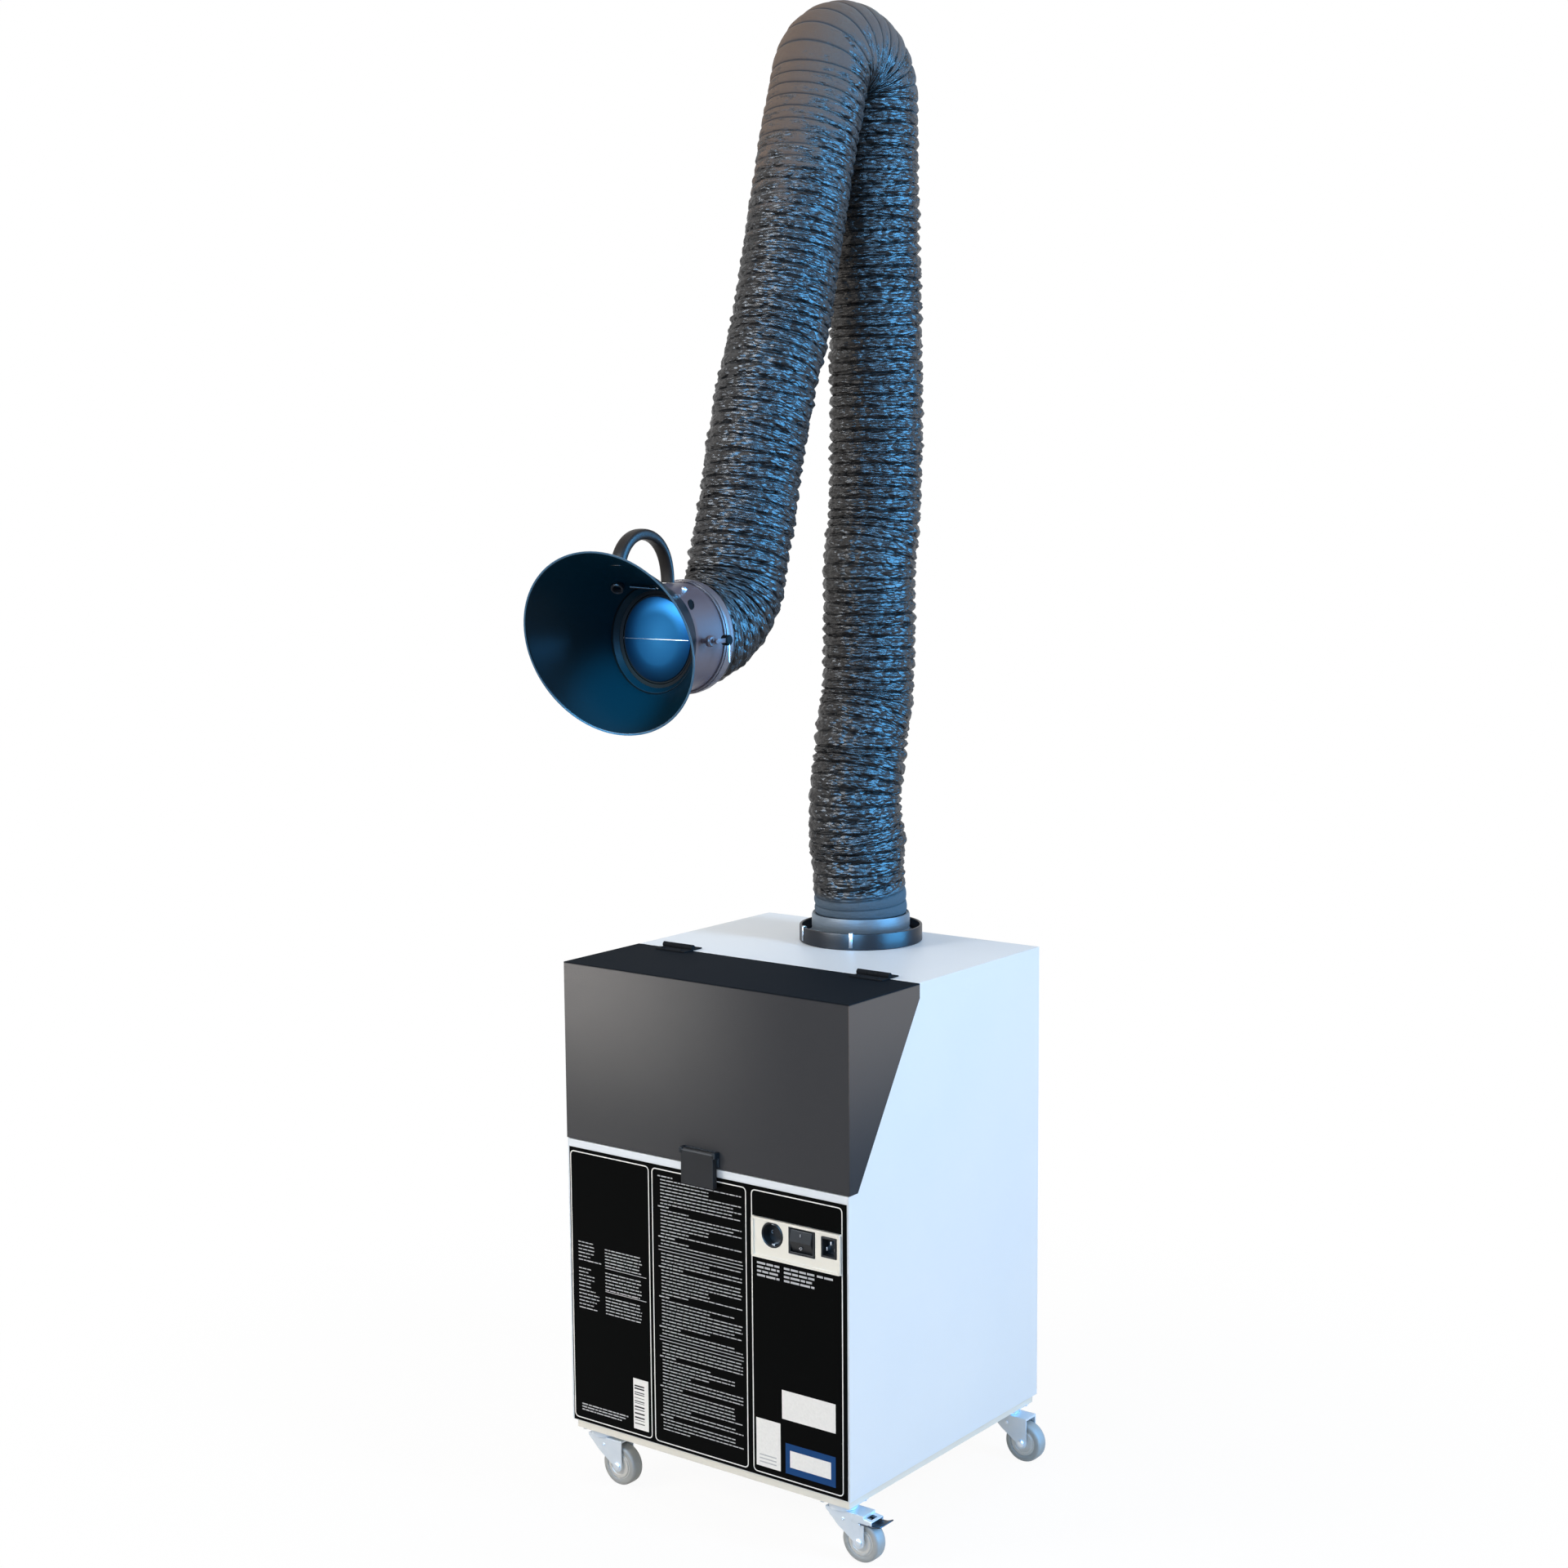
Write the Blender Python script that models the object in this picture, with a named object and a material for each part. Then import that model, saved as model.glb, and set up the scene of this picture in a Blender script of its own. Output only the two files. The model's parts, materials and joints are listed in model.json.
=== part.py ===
"""Mobile welding-fume extractor: a sheet-steel filter cabinet on four casters, with a hose-covered,
inner-jointed arm and a funnel hood. Metres, +Z up, the front faces -Y, the floor is z = 0."""
import math

import bmesh
import bpy
from mathutils import Matrix, Vector

for old in list(bpy.data.objects):
    bpy.data.objects.remove(old)

# Driving dimensions of the cabinet
cabinet_width = 0.585
cabinet_depth = 0.565
cabinet_height = 0.800
shell_lift = 0.108
sheet = 0.0015
lid_height = 0.303
lid_depth = 0.195

# Driving dimensions of the arm, in the plane x = 0; a rise is counted from the shell's lower edge and a reach
# from the swivel's axis towards the front
arm_setback = 0.1175
hose_radius = 0.082
elbow_reach = 0.036
elbow_rise = 2.231
elbow_bend_radius = 0.074
wrist_corner_reach = 0.368
neck_rise = 1.356
wrist_bend_radius = 0.125
rib_pitch = 0.018

# Driving dimensions of the hood
neck_radius = 0.0855
mouth_radius = 0.148
collar_face_run = 0.115
throat_run = 0.067
funnel_length = 0.106
mouth_drop = 0.002
mouth_pitch = math.radians(17.5)
mouth_yaw = math.radians(9.0)

# Driving dimensions of the casters
wheel_radius = 0.035
caster_height = 0.094
caster_side_room = 0.0395
caster_end_room = 0.0375
caster_trail = 0.040

# Clearances and shared values
gap = 0.0003
running = 0.0004
duct_clearance = 0.0005
overrun = 0.004
bite = 0.001
fine_steps = 40
round_steps = 28
small_steps = 12
hose_sides = 8

half_width = cabinet_width / 2
half_depth = cabinet_depth / 2
arm_y = half_depth - arm_setback
elbow_y = arm_y - elbow_reach
wrist_corner_y = arm_y - wrist_corner_reach
collar_face_y = wrist_corner_y - collar_face_run
throat_y = collar_face_y - throat_run
mouth_y = throat_y - funnel_length
caster_x = half_width - caster_side_room
caster_y = half_depth - caster_end_room
deck_z = shell_lift + cabinet_height
elbow_z = shell_lift + elbow_rise
neck_axis_z = shell_lift + neck_rise
lid_bottom_z = deck_z - lid_height
lid_back_y = -half_depth + lid_depth
hinge_pin_radius = 0.0025
hinge_barrel_radius = 0.005
hinge_axis_z = deck_z + hinge_barrel_radius + gap

X = Vector((1, 0, 0))
Y = Vector((0, 1, 0))
Z = Vector((0, 0, 1))
ORIGIN = Vector((0, 0, 0))

# The object's own origin is the middle of its box on the floor
pedal_reach = 0.044
pedal_tip_x = caster_x + caster_trail + pedal_reach
lid_half_width = half_width + 2 * gap + sheet


def material(name, colour, roughness, metallic):
    """A plain Principled finish, shared by every piece that has it."""
    found = bpy.data.materials.get(name)
    if found:
        return found
    made = bpy.data.materials.new(name)
    made.use_nodes = True
    shader = made.node_tree.nodes["Principled BSDF"]
    shader.inputs["Base Color"].default_value = (*colour, 1.0)
    shader.inputs["Roughness"].default_value = roughness
    shader.inputs["Metallic"].default_value = metallic
    made.diffuse_color = (*colour, 1.0)
    return made


WHITE = material("white_powder_coat", (0.78, 0.84, 0.90), 0.45, 0.0)
BLACK = material("black_powder_coat", (0.045, 0.046, 0.05), 0.5, 0.0)
FOIL = material("printed_foil", (0.01, 0.01, 0.012), 0.35, 0.0)
CREAM = material("cream_plastic", (0.78, 0.75, 0.66), 0.4, 0.0)
MOULDED = material("black_plastic", (0.02, 0.02, 0.022), 0.4, 0.0)
ZINC = material("zinc_plated_steel", (0.62, 0.65, 0.68), 0.3, 1.0)
STEEL = material("turned_steel", (0.5, 0.5, 0.52), 0.3, 1.0)
HOSE = material("coated_hose_fabric", (0.03, 0.035, 0.045), 0.35, 0.0)
CUFF = material("grey_rubber", (0.12, 0.13, 0.15), 0.6, 0.0)
TREAD = material("grey_tread_rubber", (0.33, 0.32, 0.30), 0.7, 0.0)
PAPER = material("filter_paper", (0.8, 0.78, 0.7), 0.9, 0.0)
MOTOR = material("motor_paint", (0.08, 0.12, 0.2), 0.5, 0.0)
GALVANISED = material("galvanised_steel", (0.55, 0.57, 0.58), 0.45, 1.0)
HOOD = material("dark_hood_plastic", (0.02, 0.035, 0.05), 0.35, 0.0)

machine = bpy.data.objects.new("machine", None)
bpy.context.scene.collection.objects.link(machine)


def node(name, bm, finish, pivot=ORIGIN, sharp=math.radians(35)):
    """Make a named piece from a mesh in machine coordinates, with its origin at the pivot."""
    bmesh.ops.remove_doubles(bm, verts=bm.verts, dist=gap / 100)
    bmesh.ops.recalc_face_normals(bm, faces=bm.faces)
    bmesh.ops.translate(bm, verts=bm.verts, vec=-Vector(pivot))
    mesh = bpy.data.meshes.new(name)
    bm.to_mesh(mesh)
    bm.free()
    mesh.materials.append(finish)
    mesh.shade_smooth()
    mesh.set_sharp_from_angle(angle=sharp)
    piece = bpy.data.objects.new(name, mesh)
    piece.location = pivot
    piece.parent = machine
    bpy.context.scene.collection.objects.link(piece)
    return piece


def tool(name, bm, pivot=ORIGIN):
    """A helper solid for a Boolean: drawn as wire, never part of the object."""
    piece = node(name, bm, STEEL, pivot)
    piece.hide_render = True
    piece.display_type = "WIRE"
    return piece


def combine(piece, operation, helper):
    step = piece.modifiers.new(helper.name, "BOOLEAN")
    step.operation = operation
    step.object = helper
    return piece


def cut(piece, *helpers):
    for helper in helpers:
        combine(piece, "DIFFERENCE", helper)
    return piece


def fuse(piece, *helpers):
    for helper in helpers:
        combine(piece, "UNION", helper)
    return piece


def block(low, high, into=None):
    """A box between two corners."""
    bm = into or bmesh.new()
    low, high = Vector(low), Vector(high)
    size = high - low
    place = Matrix.Translation((low + high) / 2) @ Matrix.Diagonal((*size, 1))
    bmesh.ops.create_cube(bm, size=1, matrix=place)
    return bm


def prism(outline, axis, start, stop, into=None):
    """Extrude a flat outline along X, Y or Z; its points are (y, z), (x, z) or (x, y)."""
    bm = into or bmesh.new()
    lift = {"X": lambda u, v: (start, u, v), "Y": lambda u, v: (u, start, v), "Z": lambda u, v: (u, v, start)}
    along = {"X": X, "Y": Y, "Z": Z}[axis]
    ring = [bm.verts.new(lift[axis](u, v)) for u, v in outline]
    base = bm.faces.new(ring)
    moved = bmesh.ops.extrude_face_region(bm, geom=[base])
    verts = [item for item in moved["geom"] if isinstance(item, bmesh.types.BMVert)]
    bmesh.ops.translate(bm, verts=verts, vec=along * (stop - start))
    return bm


def turned(profile, centre=ORIGIN, along=Z, steps=round_steps, into=None):
    """Spin a closed profile of (radius, height) points about an axis through the centre."""
    bm = bmesh.new()
    ring = [bm.verts.new((radius, 0, height)) for radius, height in profile]
    edges = [bm.edges.new(pair) for pair in zip(ring, ring[1:] + ring[:1])]
    bmesh.ops.spin(
        bm, geom=ring + edges, cent=ORIGIN, axis=Z, angle=math.tau, steps=steps, use_merge=True
    )
    bmesh.ops.remove_doubles(bm, verts=bm.verts, dist=gap / 100)
    loose = [edge for edge in bm.edges if not edge.link_faces]
    bmesh.ops.delete(bm, geom=loose, context="EDGES")
    turn = Vector(along).to_track_quat("Z", "Y").to_matrix().to_4x4()
    bmesh.ops.transform(bm, verts=bm.verts, matrix=Matrix.Translation(Vector(centre)) @ turn)
    return bm


def rod(radius, start, stop, steps=small_steps):
    """A solid round bar between two points."""
    start, stop = Vector(start), Vector(stop)
    length = (stop - start).length
    return turned([(0, 0), (radius, 0), (radius, length), (0, length)], start, stop - start, steps)


def sleeve(outer, inner, start, stop, steps=round_steps):
    """A round tube between two points."""
    start, stop = Vector(start), Vector(stop)
    length = (stop - start).length
    return turned([(inner, 0), (outer, 0), (outer, length), (inner, length)], start, stop - start, steps)


def bar_outline(path, half, arc_steps=8):
    """The outline of a flat bar with round ends that follows a path of (y, z) points."""
    points = [Vector(point) for point in path]
    left, right = [], []
    for here, there in zip(points, points[1:]):
        step = (there - here).normalized()
        side = Vector((-step.y, step.x))
        left.append((here, there, side))
        right.append((here, there, -side))

    def offset(segments):
        line = []
        for (a, b, side), (c, d, next_side) in zip(segments, segments[1:]):
            middle = (side + next_side).normalized()
            line.append(b + middle * half / middle.dot(side))
        return line

    def cap(centre, first):
        start = math.atan2(first.y, first.x)
        turns = [start - math.pi * k / arc_steps for k in range(arc_steps + 1)]
        return [centre + Vector((math.cos(a), math.sin(a))) * half for a in turns]

    outline = offset(left) + cap(points[-1], left[-1][2])
    outline += list(reversed(offset(right))) + cap(points[0], right[0][2])
    return [tuple(point) for point in outline]


def tangent_point(point, centre, radius, side):
    """Where a line from a point touches a circle in the plane x = 0."""
    point, centre = Vector(point), Vector(centre)
    reach = centre - point
    spread = math.asin(radius / reach.length)
    length = math.sqrt(reach.length_squared - radius**2)
    heading = math.atan2(reach.y, reach.x) + side * spread
    return point + Vector((math.cos(heading), math.sin(heading))) * length


# Places along the arm that several pieces share
ring_height = 0.028
cuff_rise = 0.049
shoulder_rise = 0.026
cuff_top_z = deck_z + cuff_rise
shoulder = Vector((0, arm_y, cuff_top_z + shoulder_rise))
elbow_pivot_rise = 0.060
elbow = Vector((0, elbow_y, elbow_z + elbow_pivot_rise))
hose_start = Vector((arm_y, cuff_top_z))
elbow_centre = Vector((elbow_y, elbow_z))
wrist_corner = Vector((wrist_corner_y, neck_axis_z))
rear_top = tangent_point(hose_start, elbow_centre, elbow_bend_radius, -1)
front_top = tangent_point(wrist_corner, elbow_centre, elbow_bend_radius, 1)
front_up = (front_top - wrist_corner).normalized()
rear_up = (rear_top - hose_start).normalized()
wrist_turn = math.pi - math.acos(front_up.dot(Vector((-1, 0))))
wrist_run = wrist_bend_radius * math.tan(wrist_turn / 2)
wrist_start = wrist_corner + front_up * wrist_run
wrist_setback = 0.020
wrist = Vector((0, *(wrist_corner + front_up * wrist_setback)))
collar_back_y = wrist_corner_y - wrist_run
neck_start_gap = 0.0045
neck_back_y = collar_back_y - neck_start_gap


def hose_line(count_per_pitch=2):
    """Points down the middle of the hose, half a rib apart, with the sag that the loose hose takes."""
    rear_wave_shares = (0, -0.14, -0.27, -0.08, 0.17, 0.19, 0.15, 0.33, 0.36, 0.34, 0.28, 0.20, 0.12, 0.04, 0)
    front_wave_shares = (0, -0.03, 0, 0.04, 0.06, -0.05, -0.07, 0, 0)

    def leg(start, stop, shares):
        spots = []
        run = stop - start
        side = Vector((run.y, -run.x)).normalized()
        side = side if side.x > 0 else -side
        count = 200
        for k in range(count):
            t = k / count
            place = t * (len(shares) - 1)
            i = min(int(place), len(shares) - 2)
            blend = (1 - math.cos(math.pi * (place - i))) / 2
            share = shares[i] * (1 - blend) + shares[i + 1] * blend
            spots.append(start + run * t + side * share * hose_radius)
        return spots

    def bend(start, stop, centre, count=60):
        first = math.atan2(start.y - centre.y, start.x - centre.x)
        last = math.atan2(stop.y - centre.y, stop.x - centre.x)
        radius = (start - centre).length
        angles = [first + (last - first) * k / count for k in range(count)]
        return [centre + Vector((math.cos(a), math.sin(a))) * radius for a in angles]

    inward = Vector((-front_up.y, front_up.x))
    wrist_centre = wrist_start + inward * wrist_bend_radius
    wrist_end = Vector((collar_back_y, neck_axis_z))
    first = math.atan2(wrist_start.y - wrist_centre.y, wrist_start.x - wrist_centre.x)
    arc = [
        wrist_centre
        + Vector((math.cos(first - wrist_turn * k / 40), math.sin(first - wrist_turn * k / 40)))
        * wrist_bend_radius
        for k in range(40)
    ]
    dense = leg(hose_start, rear_top, rear_wave_shares)
    dense += bend(rear_top, front_top, elbow_centre)
    dense += leg(front_top, wrist_start, front_wave_shares)
    dense += arc + [wrist_end]
    reach = [0.0]
    for here, there in zip(dense, dense[1:]):
        reach.append(reach[-1] + (there - here).length)
    ribs = round(reach[-1] / rib_pitch)
    count = ribs * count_per_pitch
    line, k = [], 0
    for n in range(count + 1):
        want = reach[-1] * n / count
        while k < len(dense) - 2 and reach[k + 1] < want:
            k += 1
        span = reach[k + 1] - reach[k]
        line.append(dense[k].lerp(dense[k + 1], (want - reach[k]) / span))
    return line


# Sizes of the hose's wall
valley_depth = 0.0065
hose_wall = 0.0045
leg_room = 0.0015
crease_room = 0.004


def ring_of(bm, centre, along, radius, sides, inset):
    """One ring of points square to the hose, flattened where the two legs press on each other."""
    pinch = leg_room + inset
    crease = crease_room + inset
    across = Vector((-along.y, along.x))
    down = -(rear_up + front_up).normalized()
    split = Vector((-down.y, down.x))
    offset = centre - elbow_centre
    in_bend = offset.dot(down) < 0 and offset.length < 2 * elbow_bend_radius
    side = 1 if offset.dot(split) > 0 else -1
    facing = side * across.dot(split)
    room = (offset.length - crease) if in_bend else (side * offset.dot(split) - pinch) / abs(facing)
    points = []
    for k in range(sides):
        angle = math.tau * k / sides
        reach = math.sin(angle) * radius
        if facing > 0:
            reach = max(reach, -room)
        else:
            reach = min(reach, room)
        swing = across * reach
        points.append(bm.verts.new((math.cos(angle) * radius, centre.x + swing.x, centre.y + swing.y)))
    return points


def hose_piece(name, line, first, last, bore_step):
    """A stretch of ribbed hose: crests and valleys outside, a plainer bore inside, open at both ends."""
    bm = bmesh.new()
    bore = hose_radius - valley_depth - hose_wall
    spots = list(range(first, last + 1))
    inner = sorted(set(spots[::bore_step] + [last]))

    def station(n):
        if n == 0:
            return line[n] + Vector((0, gap)), Vector((0, 1))
        if n == len(line) - 1:
            return line[n] + Vector((gap, 0)), Vector((-1, 0))
        along = (line[n + 1] - line[n - 1]).normalized()
        trim = gap / 2 * ((n == first) - (n == last))
        return line[n] + along * trim, along

    rings = []
    for n in spots:
        centre, along = station(n)
        radius = hose_radius if n % 2 else hose_radius - valley_depth
        rings.append(ring_of(bm, centre, along, radius, hose_sides, 0))
    for n in reversed(inner):
        centre, along = station(n)
        rings.append(ring_of(bm, centre, along, bore, hose_sides, hose_wall))
    for here, there in zip(rings, rings[1:] + rings[:1]):
        for k in range(hose_sides):
            m = (k + 1) % hose_sides
            bm.faces.new((here[k], here[m], there[m], there[k]))
    return node(name, bm, HOSE, sharp=math.radians(50))


# Sizes of the cabinet's sheet parts
wing_drop = 0.024
wing_foot = 0.0225
wing_lap = 0.012
lid_clear = 0.001
panel_flange = 0.020
tray_wall = 0.002
rail_inset = 0.0055
tray_rise = 0.022


def make_cabinet():
    """The folded shell with its deck, the front panel, the back panel and the tray under them."""
    outer = half_width
    inner = half_width - sheet
    shell_outline = [
        (-outer, shell_lift), (-inner, shell_lift), (-inner, deck_z - sheet), (inner, deck_z - sheet),
        (inner, shell_lift), (outer, shell_lift), (outer, deck_z), (-outer, deck_z),
    ]
    shell = node("cabinet_shell", prism(shell_outline, "Y", -half_depth, half_depth), WHITE)
    front_y = -half_depth - overrun
    inside_y = -half_depth + sheet + lid_clear
    access = [
        (front_y, lid_bottom_z - lid_clear),
        (inside_y, lid_bottom_z - lid_clear),
        (inside_y, lid_bottom_z + wing_lap),
        (-half_depth + wing_foot - wing_lap / 2, lid_bottom_z + wing_lap),
        (lid_back_y - wing_lap, deck_z - wing_drop),
        (lid_back_y - wing_lap, deck_z - sheet - lid_clear),
        (lid_back_y + lid_clear, deck_z - sheet - lid_clear),
        (lid_back_y + lid_clear, deck_z + overrun),
        (front_y, deck_z + overrun),
    ]
    cut(shell, tool("access_cut", prism(access, "X", -outer - overrun, outer + overrun)))
    duct_hole = neck_radius - duct_clearance
    cut(shell, tool("duct_cut", rod(
        duct_hole, (0, arm_y, deck_z - sheet - overrun), (0, arm_y, deck_z + overrun), round_steps)))

    wing = [
        (-half_depth, deck_z), (lid_back_y, deck_z), (lid_back_y, deck_z - wing_drop),
        (-half_depth + wing_foot, lid_bottom_z), (-half_depth, lid_bottom_z),
    ]
    pivot = Vector((0, lid_back_y, hinge_axis_z))
    lid = node("lid", prism(wing, "X", -lid_half_width, lid_half_width), BLACK, pivot)
    hollow = half_width + 2 * gap
    cut(lid, tool("lid_hollow", block(
        (-hollow, -half_depth + sheet, lid_bottom_z - overrun),
        (hollow, lid_back_y + overrun, deck_z - sheet))))

    panel_half = half_width - sheet - gap
    panel_top = lid_bottom_z - lid_clear
    front_outline = [
        (-half_depth, shell_lift + bite), (-half_depth + sheet, shell_lift + bite),
        (-half_depth + sheet, panel_top - sheet), (-half_depth + panel_flange, panel_top - sheet),
        (-half_depth + panel_flange, panel_top), (-half_depth, panel_top),
    ]
    front = node("front_panel", prism(front_outline, "X", -panel_half, panel_half), WHITE)
    back_top = deck_z - sheet - gap
    back = node("back_panel", block(
        (-panel_half, half_depth - sheet, shell_lift + bite), (panel_half, half_depth, back_top)), WHITE)

    rail_half_x = half_width - rail_inset
    rail_half_y = half_depth - rail_inset
    tray_half_y = half_depth - sheet - gap
    tray = node("base_tray", block(
        (-rail_half_x, -rail_half_y, caster_height), (rail_half_x, rail_half_y, shell_lift)), CREAM)
    fuse(tray, tool("tray_upper", block(
        (-panel_half, -tray_half_y, shell_lift - bite / 2),
        (panel_half, tray_half_y, shell_lift + tray_rise))))
    cut(tray, tool("tray_pocket", block(
        (-rail_half_x + tray_wall, -rail_half_y + tray_wall, caster_height + tray_wall),
        (rail_half_x - tray_wall, rail_half_y - tray_wall, shell_lift + tray_rise + overrun))))
    return front, back


# Sizes of the lid's hinges and latch
hinge_side_room = 0.0875
hinge_half = 0.032
hinge_leaf = 0.002
hinge_leaf_length = 0.024
latch_half = 0.035
latch_rise = 0.029
latch_drop = 0.031
latch_base_height = 0.026
latch_base_thickness = 0.003
latch_flap_thickness = 0.010
latch_pin_radius = 0.002
latch_lug_width = 0.006
keeper_height = 0.008
keeper_half = 0.024
keeper_drop = 0.003


def make_lid_fittings():
    """Two leaf hinges on the deck and the pull latch on the lid's lower edge."""
    mid_half = hinge_half / 3
    hinge_x = half_width - hinge_side_room
    axis_y, axis_z = lid_back_y, hinge_axis_z
    barrel, pin = hinge_barrel_radius, hinge_pin_radius
    bore = pin + running
    pivot = Vector((0, axis_y, axis_z))
    for side, sign in (("left", -1), ("right", 1)):
        x = sign * hinge_x
        leaf_low = deck_z + gap
        fixed = node(f"hinge_leaf_{side}", block(
            (x - hinge_half, axis_y + barrel + gap, leaf_low),
            (x + hinge_half, axis_y + hinge_leaf_length, leaf_low + hinge_leaf)), BLACK)
        fuse(fixed, tool(f"hinge_web_{side}", block(
            (x - mid_half, axis_y, leaf_low),
            (x + mid_half, axis_y + barrel + hinge_leaf, leaf_low + hinge_leaf))))
        fuse(fixed, tool(f"hinge_barrel_{side}", rod(
            barrel, (x - mid_half, axis_y, axis_z), (x + mid_half, axis_y, axis_z))))
        fuse(fixed, tool(f"hinge_pin_{side}", rod(
            pin, (x - hinge_half, axis_y, axis_z), (x + hinge_half, axis_y, axis_z))))
        moving = node(f"hinge_knuckle_{side}", block(
            (x - hinge_half, axis_y - hinge_leaf_length, leaf_low),
            (x + hinge_half, axis_y - barrel - gap, leaf_low + hinge_leaf)), BLACK, pivot)
        for end in (-1, 1):
            near, far = x + end * (mid_half + gap), x + end * hinge_half
            fuse(moving, tool(f"hinge_arm_{side}_{end}", block(
                (min(near, far), axis_y - barrel - hinge_leaf, leaf_low),
                (max(near, far), axis_y, leaf_low + hinge_leaf)), pivot))
            fuse(moving, tool(f"hinge_eye_{side}_{end}", rod(
                barrel, (near, axis_y, axis_z), (far, axis_y, axis_z)), pivot))
        cut(moving, tool(f"hinge_bore_{side}", rod(
            bore, (x - hinge_half - overrun, axis_y, axis_z), (x + hinge_half + overrun, axis_y, axis_z)),
                pivot))

    latch_top = lid_bottom_z + latch_rise
    latch_foot = lid_bottom_z - latch_drop
    face = -half_depth - gap
    latch_axis = Vector((0, face - latch_base_thickness - latch_flap_thickness / 2,
        latch_top - latch_flap_thickness / 2))
    base = node("latch_base", block(
        (-latch_half, face - latch_base_thickness, latch_top - latch_base_height),
        (latch_half, face, latch_top)), MOULDED)
    base.location = ORIGIN
    for sign in (-1, 1):
        outer, inner = sign * latch_half, sign * (latch_half - latch_lug_width)
        lug = prism([
            (face - latch_base_thickness + bite, latch_top - latch_flap_thickness),
            (face - latch_base_thickness + bite, latch_top),
            (latch_axis.y - latch_flap_thickness / 2, latch_top),
            (latch_axis.y - latch_flap_thickness / 2, latch_top - latch_flap_thickness),
        ], "X", min(outer, inner), max(outer, inner))
        fuse(base, tool(f"latch_lug_{sign}", lug))
    fuse(base, tool("latch_pin", rod(latch_pin_radius, (-latch_half + bite, latch_axis.y, latch_axis.z),
                                     (latch_half - bite, latch_axis.y, latch_axis.z))))
    flap_half = latch_half - latch_lug_width - running
    reach = latch_flap_thickness / 2
    flap_outline = [
        (latch_axis.y - reach, latch_foot), (latch_axis.y + reach - gap, latch_foot),
        (latch_axis.y + reach - gap, latch_axis.z),
    ]
    for k in range(1, 6):
        angle = math.pi * k / 6
        flap_outline.append((latch_axis.y + (reach - gap) * math.cos(angle),
                             latch_axis.z + (reach - gap) * math.sin(angle)))
    flap_outline.append((latch_axis.y - reach, latch_axis.z))
    flap = node("latch_flap", prism(flap_outline, "X", -flap_half, flap_half), MOULDED, latch_axis)
    cut(flap, tool("latch_bore", rod(latch_pin_radius + running, latch_axis - X * latch_half,
                                     latch_axis + X * latch_half), latch_axis))
    keeper_top = lid_bottom_z - keeper_drop
    node("latch_keeper", block(
        (-keeper_half, face - latch_base_thickness / 2, keeper_top - keeper_height),
        (keeper_half, face, keeper_top)), ZINC)
    return latch_axis


# Sizes of the foil, the socket plate and what it carries
foil_thickness = 0.0005
foil_top_drop = 0.014
foil_side_margin = 0.0035
plate_width = 0.175
plate_height = 0.066
plate_thickness = 0.003
plate_side_margin = 0.0135
plate_top_drop = 0.063
fittings_rise = 0.041
fitting_depth = 0.032
fitting_proud = 0.0015
socket_offset = 0.041
socket_radius = 0.021
socket_recess = 0.016
socket_rim = 0.003
switch_offset = 0.0995
switch_half_x = 0.0255
switch_half_z = 0.023
switch_bezel = 0.004
switch_well_depth = 0.014
rocker_crown = 0.003
rocker_fall = 0.0022
rocker_slack = 0.0006
inlet_offset = 0.0225
inlet_half_x = 0.0145
inlet_half_z = 0.0165
inlet_pin_half_x = 0.001
inlet_pin_half_z = 0.0025
inlet_pin_length = 0.009
box_margin = 0.006
box_wall = 0.0015


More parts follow.
